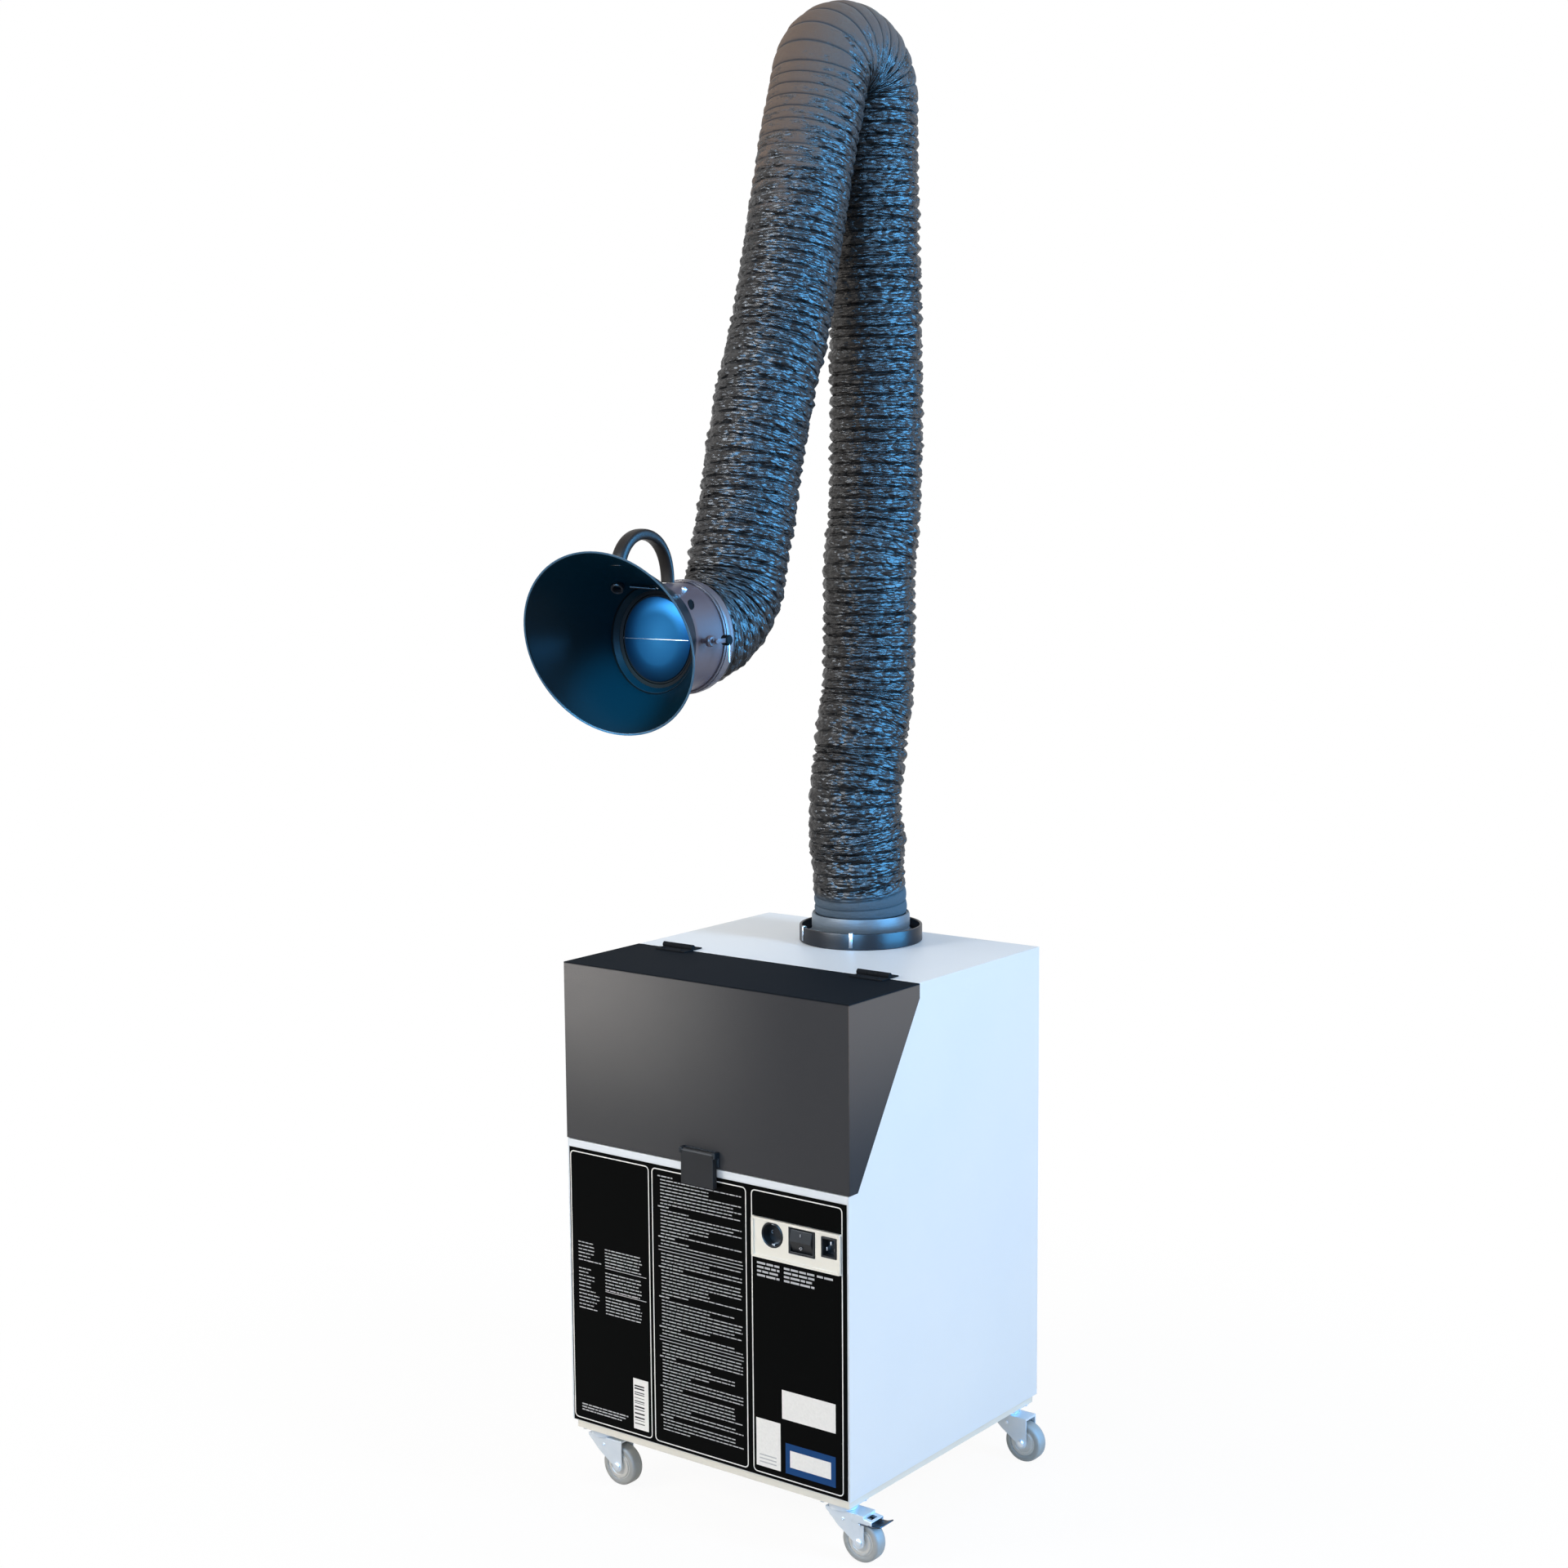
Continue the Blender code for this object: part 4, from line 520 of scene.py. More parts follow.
socket = piece("socket_cup", turned([
    (0, 0), (radius, 0), (radius, depth - 0.001), (radius - 0.001, depth), (radius - lip + 0.0008, depth),
    (radius - lip, depth - 0.0008), (radius - lip - 0.0004, depth - well), (0.0085, depth - well),
    (0.0085, depth - well + 0.0012), (0, depth - well + 0.0012)],
    (socket_x, socket_high.y, socket_z), (0, -1, 0), 64), black_plastic)
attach(socket, "cabinet")
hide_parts("service_socket")


def block(bm, low, high, ease=0.0):
    """A box between two corners, with its edges rounded."""
    low, high = Vector(low), Vector(high)
    place = Matrix.Translation((low + high) / 2) @ Matrix.Diagonal((*(high - low), 1))
    made = bmesh.ops.create_cube(bm, size=1, matrix=place)["verts"]
    if ease:
        edges = list({e for v in made for e in v.link_edges})
        bmesh.ops.bevel(bm, geom=edges, offset=ease, segments=2, profile=0.5, affect="EDGES", material=-1)


# Bright contacts stand in the sockets: two spring clips and two pin sleeves, and the inlet's three blades
contacts = bmesh.new()
for side in (-1, 1):
    edge = socket_z + side * (radius - lip - 0.0014)
    block(contacts, (socket_x - 0.003, socket_y + 0.004, edge - 0.0008),
          (socket_x + 0.003, socket_y + well, edge + 0.0008), 0.0003)
    lathe(contacts, [(0.0018, 0), (0.0030, 0), (0.0030, 0.0004), (0.0018, 0.0004)],
          (socket_x + side * 0.0095, socket_y + well, socket_z), (0, -1, 0), 24)
inlet_low, inlet_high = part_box("mains_inlet")
for u, v in ((-0.55, -0.25), (0.55, -0.25), (0, 0.35)):
    x, z = (inlet_low.x + inlet_high.x) / 2 + u * 0.0145, (inlet_low.z + inlet_high.z) / 2 + v * 0.0165
    block(contacts, (x - 0.0013, inlet_low.y + 0.0065, z - 0.0028),
          (x + 0.0013, inlet_low.y + 0.0162, z + 0.0028), 0.0003)
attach(piece("contacts", contacts, zinc), "cabinet")

# The switch has the usual bar and ring printed on its key
key_low, key_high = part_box("switch_rocker")
x, y, z = (key_low.x + key_high.x) / 2, key_low.y, (key_low.z + key_high.z) / 2
marks = bmesh.new()
block(marks, (x - 0.0004, y - 0.0001, z + 0.0085), (x + 0.0004, y + 0.0022, z + 0.0130))
lathe(marks, [(0.0017, 0), (0.0024, 0), (0.0024, 0.0016), (0.0017, 0.0016)], (x, y + 0.0028, z - 0.0105),
      (0, -1, 0), 28)
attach(piece("switch_marks", marks, grey_ink), "rocker")

# The casters
# Four swivel casters: zinc-plated pressed plates and forks on a ball race, and grey rubber tyres on pale
# plastic hubs. The front right one has a foot brake in a zinc channel with a dark blade.

# The tyre is a warm mid grey that never shines; the hub is paler and smoother. A passive film dulls the
# casters' zinc, and the brake blade is blackened
tyre_rubber = moulded("grey_tread_rubber", "989791", 0.65, 1.5, 0.35)
hub_plastic = moulded("pale_hub_plastic", "C6C5C0", 0.42, 1.0, 0.15)
matt_zinc = plated("passivated_zinc", "DADFE3", "BCC4CB", 0.42, metallic=0.25, shine=0.1)
dark_steel = plated("blackened_steel", "34383F", "23262B", 0.35)
tyre_half = [(0.0238, 0.0108), (0.0250, 0.0116), (0.0315, 0.0119), (0.0335, 0.0108), (0.0347, 0.0085),
             (0.0350, 0.0050)]
hub_half = [(0.0056, 0.0135), (0.0088, 0.0135), (0.0098, 0.0118), (0.0130, 0.0108), (0.0158, 0.0112),
            (0.0168, 0.0122), (0.0206, 0.0122), (0.0214, 0.0104), (0.0237, 0.0102)]
tyre_profile = [(r, -h) for r, h in tyre_half] + tyre_half[::-1]
hub_profile = hub_half + [(r, -h) for r, h in reversed(hub_half)]
for tag in ("front_left", "front_right", "rear_left", "rear_right"):
    wheel_low, wheel_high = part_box(f"caster_wheel_{tag}")
    axle = (wheel_low + wheel_high) / 2
    tyre = piece(f"tyre_{tag}", turned(tyre_profile, axle, (0, 1, 0), 72), tyre_rubber)
    hub = piece(f"hub_{tag}", turned(hub_profile, axle, (0, 1, 0), 64), hub_plastic)
    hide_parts(f"caster_wheel_{tag}")
    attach(tyre, f"wheel_{tag}")
    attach(hub, f"wheel_{tag}")

    eased(f"fork_{tag}", f"caster_fork_{tag}", 0.0009, matt_zinc, segments=3)
    eased(f"top_plate_{tag}", f"caster_plate_{tag}", 0.0007, matt_zinc)
    fork_low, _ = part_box(f"caster_fork_{tag}")
    top_low, top_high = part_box(f"caster_plate_{tag}")
    top = (top_low + top_high) / 2
    fittings = bmesh.new()
    for way in (-1, 1):
        cheek = axle.y + way * 0.0166
        lathe(fittings, [(0, 0), (0.0064, 0), (0.0064, 0.0012), (0.0052, 0.0023), (0.0034, 0.0029),
                         (0, 0.0030)], (axle.x, cheek, axle.z), (0, way, 0), 28)
        lathe(fittings, [(0.0009, 0), (0.0030, 0), (0.0030, 0.0006), (0.0022, 0.0010), (0.0009, 0.0010)],
              (fork_low.x + 0.034, cheek, axle.z + 0.032), (0, way, 0), 24)
    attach(piece(f"fork_rivets_{tag}", fittings, zinc), f"fork_{tag}")
    bolts = bmesh.new()
    for sx, sy in ((-1, -1), (-1, 1), (1, -1), (1, 1)):
        lathe(bolts, [(0, 0), (0.0046, 0), (0.0046, 0.0022), (0.0040, 0.0028), (0, 0.0028)],
              (top.x + sx * 0.0255, top.y + sy * 0.021, top_high.z - 0.0025), (0, 0, -1), 6)
    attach(piece(f"plate_bolts_{tag}", bolts, matt_zinc), "cabinet")

# The brake's channel is a strip with two windows and folded sides; its blade turns up at the tip
pedal_low, pedal_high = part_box("brake_pedal")
channel_start, channel_length, channel_top = pedal_low.x - 0.0105, 0.0395, pedal_high.z + 0.0068
channel_side, channel_width = pedal_low.y + 0.0035, 0.033
columns, lanes = (0, 0.10, 0.36, 0.50, 0.60, 0.86, 0.94, 1), (0, 0.24, 0.76, 1)
channel = bmesh.new()
bmesh.ops.create_grid(channel, x_segments=7, y_segments=3, size=0.5)
for v in channel.verts:
    column, lane = columns[round((v.co.x + 0.5) * 7)], lanes[round((v.co.y + 0.5) * 3)]
    v.co = (channel_start + channel_length * column, channel_side + channel_width * lane,
            channel_top - 0.0040 * column)
windows = sorted(channel.faces, key=lambda f: -f.calc_area())[:2]
bmesh.ops.delete(channel, geom=windows, context="FACES")
sides = [e for e in channel.edges if e.is_boundary and all(
    min(abs(v.co.y - channel_side), abs(v.co.y - channel_side - channel_width)) < 0.0001 for v in e.verts)]
folded = bmesh.ops.extrude_edge_only(channel, edges=sides)
for v in [g for g in folded["geom"] if isinstance(g, bmesh.types.BMVert)]:
    v.co.z -= 0.0115 if v.co.x < channel_start + 0.030 else 0.0060
    v.co.y -= 0.0008
channel = piece("brake_channel", channel, matt_zinc)
thicken(channel, 0.0012, -1)
round_edges(channel, 0.0004)
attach(channel, "pedal")
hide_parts("brake_pedal")
blade = bmesh.new()
bmesh.ops.create_grid(blade, x_segments=8, y_segments=4, size=0.5)
for v in blade.verts:
    share, lane = v.co.x + 0.5, v.co.y * 2
    lift = 0.0045 * max(0, (share - 0.62) / 0.38) ** 1.6
    taper = 1 - 0.10 * share + 0.10 * max(0, (share - 0.8) / 0.2)
    v.co = (pedal_low.x + 0.004 + (pedal_high.x - pedal_low.x - 0.004) * share,
            (pedal_low.y + pedal_high.y) / 2 + lane * 0.0185 * taper, pedal_low.z + 0.0045 + lift)
blade = piece("brake_blade", blade, dark_steel)
thicken(blade, 0.0022, 0)
round_edges(blade, 0.0006)
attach(blade, "pedal")

# Inside the cabinet
# Behind the lid a galvanised shelf carries a pleated paper filter under a knitted steel spark mat; below it a
# motor turns a bladed wheel in a sheet-steel scroll that blows out through louvres in the back panel.

# Galvanised sheet shows spangles about a centimetre wide, each a slightly different grey
galvanised, tree, shader = finish("galvanised_steel", {"Metallic": 1.0})
spangle = add(tree, "TexVoronoi", {"Scale": 90.0, "Vector": add(tree, "TexCoord", {})["Object"]})["Distance"]
shades = add(tree, "Mix", {0: spangle, 6: linear("A6ABAE"), 7: linear("C3C7C9")}, data_type="RGBA")
gloss = add(tree, "MapRange", {0: spangle, 3: 0.32, 4: 0.55})
plug(shader, {"Base Color": shades[2], "Roughness": gloss[0]})
coat(galvanised, "filter_shelf", "fan_scroll", "control_box")

# Filter paper is a matt, fibrous, creamy white
coat(surface("pleated_filter_paper", {"Roughness": 0.9, "IOR": 1.45}, (700.0, 4.0),
             (linear("E8E4D8"), linear("D2CCBC")), dents=(0.4, 0.0003)), "main_filter")

# The mat's knitted wire is drawn as loops about 3 mm wide, with dark gaps between
knit, tree, shader = finish("knitted_steel_mat", {"Metallic": 1.0, "Roughness": 0.4})
wire = add(tree, "TexVoronoi", {"Scale": 320.0, "Vector": add(tree, "TexCoord", {})["Object"]},
           feature="DISTANCE_TO_EDGE")["Distance"]
shades = add(tree, "Mix", {0: wire, 6: linear("B9BCBE"), 7: linear("3B3D3F")}, data_type="RGBA")
bump = add(tree, "Bump", {"Strength": 0.8, "Distance": 0.001, "Height": wire}, invert=True)
plug(shader, {"Base Color": shades[2], "Normal": bump[0]})
coat(knit, "spark_mat")

# The motor's enamel is a plain blue grey with a soft shine
coat(orange_peel("motor_paint", "2B3C55", "24344B", 0.45, 1.4, 0.4), "motor", "impeller")
eased("outlet_grille", "exhaust_grille", 0.0004, black_coat)

# The swivel
# A black gutter ring is bolted to the deck, and the arm's pipe turns in it. A grey-blue rubber cuff grips
# the end of the hose, and bright spring clips over the ring's lip hold the pipe down.

# The ring is a satin black that takes a clear streak from each lamp; the cuff is a pale, dull blue grey
ring_coat = orange_peel("satin_black_ring", "2A2D33", "22252A", 0.30, 1.6, 0.2, 0.13)
cuff_rubber, tree, shader = finish("grey_blue_rubber", {
    "Roughness": 0.45, "IOR": 1.52, "Specular IOR Level": 0.2})
smear = add(tree, "Mapping", {"Scale": (1, 1, 7), "Vector": add(tree, "TexCoord", {})["Object"]})
streak = add(tree, "TexNoise", {"Scale": 40.0, "Detail": 4.0, "Vector": smear[0]})["Fac"]
shades = add(tree, "Mix", {0: streak, 6: linear("5C6874"), 7: linear("7E8C99")}, data_type="RGBA")
bump = add(tree, "Bump", {"Strength": 0.2, "Distance": 0.0006, "Height": streak})
plug(shader, {"Base Color": shades[2], "Normal": bump[0]})
coat(cuff_rubber, "swivel_pipe")

ring_low, ring_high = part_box("swivel_ring")
arm_x, arm_y = (ring_low.x + ring_high.x) / 2, (ring_low.y + ring_high.y) / 2
edge, top = (ring_high.x - ring_low.x) / 2, ring_high.z - ring_low.z
bore, lip, gutter = 0.0826, 0.0045, 0.008
ring = piece("gutter_ring", turned([
    (bore, 0), (edge - 0.0008, 0), (edge, 0.0008), (edge, top - 0.0016),
    (edge - 0.0005, top - 0.0004), (edge - 0.0016, top), (edge - lip + 0.0012, top),
    (edge - lip, top - 0.0012), (edge - lip, gutter), (bore, gutter)],
    (arm_x, arm_y, ring_low.z), (0, 0, 1), 120), ring_coat)
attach(ring, "cabinet")
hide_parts("swivel_ring")

cuff_low, cuff_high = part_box("hose_cuff")
radius, rise, bore = (cuff_high.x - cuff_low.x) / 2, cuff_high.z - cuff_low.z, 0.0825
cuff = piece("cuff", turned([
    (bore, 0), (radius - 0.0003, 0), (radius + 0.0006, 0.002), (radius + 0.0006, 0.009),
    (radius - 0.0004, 0.0105), (radius - 0.0004, 0.0125), (radius + 0.0004, 0.014), (radius, rise - 0.003),
    (radius - 0.0012, rise), (bore, rise)], (arm_x, arm_y, cuff_low.z), (0, 0, 1), 120), cuff_rubber)
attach(cuff, "turntable")
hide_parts("hose_cuff")

clips = bmesh.new()
for bearing in (-64, -124, 86):
    angle = math.radians(bearing)
    out = Vector((math.cos(angle), math.sin(angle), 0))
    half = Vector((-out.y, out.x, 0)) * 0.0031
    spring = [(edge + 0.0007, 0.004), (edge + 0.0007, top + 0.0003), (edge - 0.0010, top + 0.0016),
              (edge - lip - 0.0010, top + 0.0012), (edge - lip - 0.0020, top - 0.006)]
    points = [Vector((arm_x, arm_y, ring_low.z + height)) + out * reach for reach, height in spring]
    left, right = [clips.verts.new(p - half) for p in points], [clips.verts.new(p + half) for p in points]
    for k in range(len(points) - 1):
        clips.faces.new((left[k], left[k + 1], right[k + 1], right[k]))
bmesh.ops.recalc_face_normals(clips, faces=clips.faces)
clips = piece("spring_clips", clips, zinc)
thicken(clips, 0.0009, 0)
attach(clips, "cabinet")

# The hose
# The arm runs inside a hose of coated glass-fibre fabric, sewn over a wire spiral with a turn every 20 mm.
# It bulges between narrow grooves, lies smooth where the bend stretches it and creases where it is slack.
hose_radius, rib_pitch, valley = 0.0825, 0.0196, 0.0053
sleeve_top, sleeve_fade = 0.030, 0.025
hose_foot = Vector((arm_y, cuff_high.z))
elbow_centre, elbow_radius = Vector((0.24963, 2.339)), 0.074
wrist_corner, wrist_radius = Vector((-0.08237, 1.464)), 0.125


def heading(way):
    return math.atan2(way.y, way.x)


def on_circle(angle, radius):
    return Vector((math.cos(angle), math.sin(angle))) * radius


def tangent_point(point, centre, radius, side):
    """Where a line from a point touches a circle, in the arm's (y, z) plane."""
    reach = centre - point
    angle = heading(reach) + side * math.asin(radius / reach.length)
    return point + on_circle(angle, math.sqrt(reach.length_squared - radius**2))


rear_top = tangent_point(hose_foot, elbow_centre, elbow_radius, -1)
front_top = tangent_point(wrist_corner, elbow_centre, elbow_radius, 1)
front_up = (front_top - wrist_corner).normalized()
rear_up = (rear_top - hose_foot).normalized()
elbow_turn = heading(front_top - elbow_centre) - heading(rear_top - elbow_centre)
wrist_turn = math.pi - math.acos(front_up.dot(Vector((-1, 0))))
wrist_run = wrist_radius * math.tan(wrist_turn / 2)
wrist_start = wrist_corner + front_up * wrist_run
wrist_centre = wrist_start + Vector((-front_up.y, front_up.x)) * wrist_radius
hose_end = Vector((wrist_corner.x - wrist_run, wrist_corner.y))
rear_sway = (0, -0.14, -0.27, -0.08, 0.17, 0.19, 0.15, 0.33, 0.36, 0.34, 0.28, 0.20, 0.12, 0.04, 0)
front_sway = (0, -0.03, 0, 0.04, 0.06, -0.05, -0.07, 0, 0)
leg_steps, elbow_steps, wrist_steps = 400, 90, 60


def leg(start, stop, shares):
    """A leg of the hose's middle line; the shares say how far it sways, in hose radii."""
    run, spots = stop - start, []
    side = Vector((run.y, -run.x)).normalized()
    side = side if side.x > 0 else -side
    for k in range(leg_steps):
        place = k / leg_steps * (len(shares) - 1)
        i = int(place)
        blend = (1 - math.cos(math.pi * (place - i))) / 2
        share = shares[i] * (1 - blend) + shares[i + 1] * blend
        spots.append(start + run * k / leg_steps + side * share * hose_radius)
    return spots


def arc(start, centre, sweep, count):
    spoke = start - centre
    return [centre + on_circle(heading(spoke) + sweep * k / count, spoke.length) for k in range(count)]


middle_line = [*leg(hose_foot, rear_top, rear_sway), *arc(rear_top, elbow_centre, elbow_turn, elbow_steps),
               *leg(front_top, wrist_start, front_sway),
               *arc(wrist_start, wrist_centre, -wrist_turn, wrist_steps), hose_end]
run_lengths = [0.0]
for here, there in zip(middle_line, middle_line[1:]):
    run_lengths.append(run_lengths[-1] + (there - here).length)
hose_length, bend_reach = run_lengths[-1], run_lengths[leg_steps + elbow_steps // 2]
rib_count = round(hose_length / rib_pitch)
rib_pitch = hose_length / rib_count


def along_hose(reach):
    """The middle of the hose at a length from the foot."""
    reach = min(max(reach, 0), hose_length)
    low = min(bisect(run_lengths, reach), len(run_lengths) - 1) - 1
    share = (reach - run_lengths[low]) / (run_lengths[low + 1] - run_lengths[low])
    return middle_line[low].lerp(middle_line[low + 1], share)


def heading_at(reach):
    """The hose's direction at a length from the foot; its ends are square to the cuff and the collar."""
    if reach < 0.004:
        return Vector((0, 1))
    if reach > hose_length - 0.004:
        return Vector((-1, 0))
    return (along_hose(reach + 0.006) - along_hose(reach - 0.006)).normalized()


split_down = -(rear_up + front_up).normalized()
split_side = Vector((-split_down.y, split_down.x))


def room_inside(centre, across_way):
    """How far the hose may reach towards the other leg, or towards the middle of the bend."""
    offset = centre - elbow_centre
    facing = across_way.dot(split_side)
    side = 1 if offset.dot(split_side) > 0 else -1
    if offset.dot(split_down) < 0 and offset.length < 2 * elbow_radius:
        return offset.length - 0.004, side * facing
    return (side * offset.dot(split_side) - 0.0015) / max(abs(facing), 0.05), side * facing


def tautness(reach, angle):
    """How far the fabric is stretched: fully on the outside of the bend, and less down the front leg."""
    past = reach - bend_reach
    fade = 1 - past / 0.55 if past > 0 else 1 + past / 0.30
    return min(max(fade, 0), 1) ** 0.8 * (0.5 - 0.5 * math.sin(angle)) ** 0.6


def skin(reach, angle):
    """The fabric's height over the wires: grooves at them, folds and a crumple of small facets between."""
    taut = tautness(reach, angle)
    sleeve = min(max((reach - sleeve_top) / sleeve_fade, 0), 1)
    bulge = abs(math.sin(math.pi * reach / rib_pitch)) ** (0.6 - 0.28 * taut)
    swell = 0.0040 * math.exp(-(((reach - 0.125) / 0.028) ** 2))
    twist = angle + reach * 6
    x, y = math.cos(twist) * hose_radius, math.sin(twist) * hose_radius
    lump = noise.noise(Vector((x * 16, y * 16, reach * 16)))
    fold = noise.noise(Vector((x * 30 + 9, y * 30 + 3, reach * 90)))
    near, second = noise.voronoi(Vector((x * 34, y * 34, reach * 104)))[0][:2]
    facet = min(second - near, 0.6) - 0.3
    slack = (1 - 0.9 * taut) * (0.12 + 0.88 * sleeve)
    depth = valley * (1 - 0.45 * taut) * (0.45 + 0.55 * sleeve) * (1 - bulge)
    creases = 0.0012 * lump + 0.0026 * fold + 0.0050 * facet * (0.4 + 0.6 * bulge)
    return swell - depth - 0.0016 + slack * creases


# The coat on the fabric is near black and wet-looking. Its crumples, 3 to 8 mm wide over the folds of the
# mesh, break every lamp up into hard glints; where the fabric is stretched, a dull brownish grey is a painted
# sheen of the warm lamp above
hose_fabric, tree, shader = finish("coated_hose_fabric", {"IOR": 1.5, "Specular IOR Level": 0.24})
uv_map = add(tree, "UVMap", {}, uv_map="hose")[0]
stretched = add(tree, "SeparateXYZ", {0: add(tree, "UVMap", {}, uv_map="stretch")[0]})
place = add(tree, "TexCoord", {})["Object"]
cloud = add(tree, "TexNoise", {"Scale": 9.0, "Detail": 3.0, "Vector": place})
slanted = add(tree, "Mapping", {"Scale": (29, 96, 1), "Rotation": (0, 0, 0.35), "Vector": uv_map})[0]
bent = add(tree, "TexNoise", {"Scale": 0.8, "Detail": 2.0, "Vector": slanted})
warped = add(tree, "VectorMath", {0: slanted, 1: bent["Color"]}, operation="ADD")
crumple = add(tree, "TexVoronoi", {"Scale": 1.0, "Vector": warped[0]}, voronoi_dimensions="2D")
fine = add(tree, "TexNoise", {"Scale": 300.0, "Detail": 1.0, "Vector": place})
ragged = add(tree, "TexNoise", {"Scale": 0.45, "Detail": 4.0, "Roughness": 0.7, "Vector": slanted})
torn = add(tree, "MapRange", {0: ragged["Fac"], 3: -0.70, 4: 0.70})
edge = add(tree, "Math", {0: stretched[0], 1: torn[0]}, operation="ADD")
dusty = add(tree, "MapRange", {0: edge[0], 1: 0.46, 2: 0.72}, **soft_step)[0]
sleeve = add(tree, "MapRange", {0: stretched[1]}, **soft_step)[0]
smooth = add(tree, "Math", {0: dusty, 1: sleeve}, operation="MAXIMUM")[0]
dark = add(tree, "Mix", {0: cloud["Fac"], 6: linear("13110F"), 7: linear("262220")}, data_type="RGBA")
# Painted sheen: the stretched fabric turns a dull brownish grey
grey = add(tree, "Mix", {0: dusty, 6: dark[2], 7: linear("5F4C38")}, data_type="RGBA")
tone = add(tree, "Mix", {0: sleeve, 6: grey[2], 7: linear("45515C")}, data_type="RGBA")
# Painted shade darkens the narrow grooves at the wires
along = add(tree, "SeparateXYZ", {0: uv_map})[1]
turns = add(tree, "Math", {0: along, 1: math.tau * hose_radius / rib_pitch * math.pi}, operation="MULTIPLY")
wave = add(tree, "Math", {0: turns[0]}, operation="SINE")
crest = add(tree, "Math", {0: wave[0]}, operation="ABSOLUTE")
groove_painted_shade = add(tree, "MapRange", {0: crest[0], 1: 0.02, 2: 0.34, 3: 0.30, 4: 1.0}, **soft_step)
shades = add(tree, "Mix", {0: groove_painted_shade[0], 6: (0, 0, 0, 1), 7: tone[2]}, data_type="RGBA")
depth = add(tree, "MapRange", {0: smooth, 3: -7.5, 4: -1.0})
tall = add(tree, "Math", {0: crumple["Distance"], 1: depth[0]}, operation="MULTIPLY")
both = add(tree, "Math", {0: tall[0], 1: fine["Fac"]}, operation="ADD")
bump = add(tree, "Bump", {"Strength": 0.6, "Distance": 0.0009, "Height": both[0]})
gloss = add(tree, "MapRange", {0: smooth, 3: 0.40, 4: 0.90})
plug(shader, {"Base Color": shades[2], "Normal": bump[0], "Roughness": gloss[0]})


def hose_band(name, first, last, sides=128, per_rib=8, skirts=(0, 0)):
    """A stretch of hose, as a grid rolled into a tube; its skirts hide under the next stretch."""
    steps = max(2, round((last - first) / rib_pitch * per_rib))
    rows = [(first + (last - first) * k / steps, 0.0, 0.0) for k in range(steps + 1)]
    if skirts[0]:
        rows = [(first, 0.0045, -skirts[0]), (first, 0.004, -0.0015)] + rows
    if skirts[1]:
        rows += [(last, 0.004, 0.0015), (last, 0.0045, skirts[1])]
    bm = bmesh.new()
    uv, stretch = bm.loops.layers.uv.new("hose"), bm.loops.layers.uv.new("stretch")
    bmesh.ops.create_grid(bm, x_segments=sides, y_segments=len(rows) - 1, size=0.5)
    for f in bm.faces:
        for loop in f.loops:
            x, y, _ = loop.vert.co
            reach, _, shift = rows[round((y + 0.5) * (len(rows) - 1))]
            loop[uv].uv = (x + 0.5, (reach + shift) / (math.tau * hose_radius))
            loop[stretch].uv = (tautness(reach, x * math.tau), 1 - (reach - sleeve_top) / sleeve_fade)
    rings = []
    for reach, inset, shift in rows:
        way = heading_at(reach)
        centre = along_hose(reach)
        side = Vector((-way.y, way.x))
        rings.append((centre + way * shift, side, *room_inside(centre, side), reach, inset))
    for v in bm.verts:
        centre, side, room, facing, reach, inset = rings[round((v.co.y + 0.5) * (len(rows) - 1))]
        angle = v.co.x * math.tau
        radius = hose_radius + skin(reach, angle) - inset
        out, limit = math.sin(angle) * radius, room - inset
        out = max(out, -limit) if facing > 0 else min(out, limit)
        v.co = (arm_x + math.cos(angle) * radius, centre.x + side.x * out, centre.y + side.y * out)
    bmesh.ops.remove_doubles(bm, verts=bm.verts, dist=0.00002)
    bmesh.ops.recalc_face_normals(bm, faces=bm.faces)
    return piece(name, bm, hose_fabric, sharp=60)


def folding_arc(name, first, last, replaced):
    """Where a joint folds the hose, each rib is made as a piece of its own, in place."""
    count, span = round((last - first) / rib_pitch), last - first
    for k in range(count):
        low, high = first + rib_pitch * k, first + rib_pitch * (k + 1)
        obj = hose_band(f"{name}_{k + 1}", low, high, skirts=(0.010, 0.010))
        middle = Vector((arm_x, *along_hose((low + high) / 2)))
        way = Vector((0, *heading_at((low + high) / 2)))
        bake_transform(obj)
        if k == 0:
            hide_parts(replaced)


shoulder_end, elbow_start, elbow_end, wrist_begin = (
    round(share * rib_count) * rib_pitch for share in (0.075, 0.495, 0.660, 0.915))
base = hose_band("hose_foot", 0, shoulder_end, skirts=(0, 0.010))
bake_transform(base)
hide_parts("hose_base")
rear = hose_band("hose_rear_leg", shoulder_end, elbow_start)
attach(rear, "lower_boom")
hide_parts("hose_lower")
folding_arc("hose_bend", elbow_start, elbow_end, "hose_elbow")
front = hose_band("hose_front_leg", elbow_end, wrist_begin)
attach(front, "upper_boom")
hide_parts("hose_upper")
folding_arc("hose_wrist", wrist_begin, hose_length, "hose_wrist")

# The arm
# Inside the hose two flat steel bars carry the hood. Friction discs at the shoulder, elbow and wrist hold
# them where they are put.

# The bars are bare drawn steel, a darker and warmer grey than the zinc
coat(plated("drawn_steel", "B4B5B7", "8E9093", 0.32),
     "lower_arm", "upper_arm", "shoulder_pin", "elbow_pin", "wrist_pin", "wrist_link")
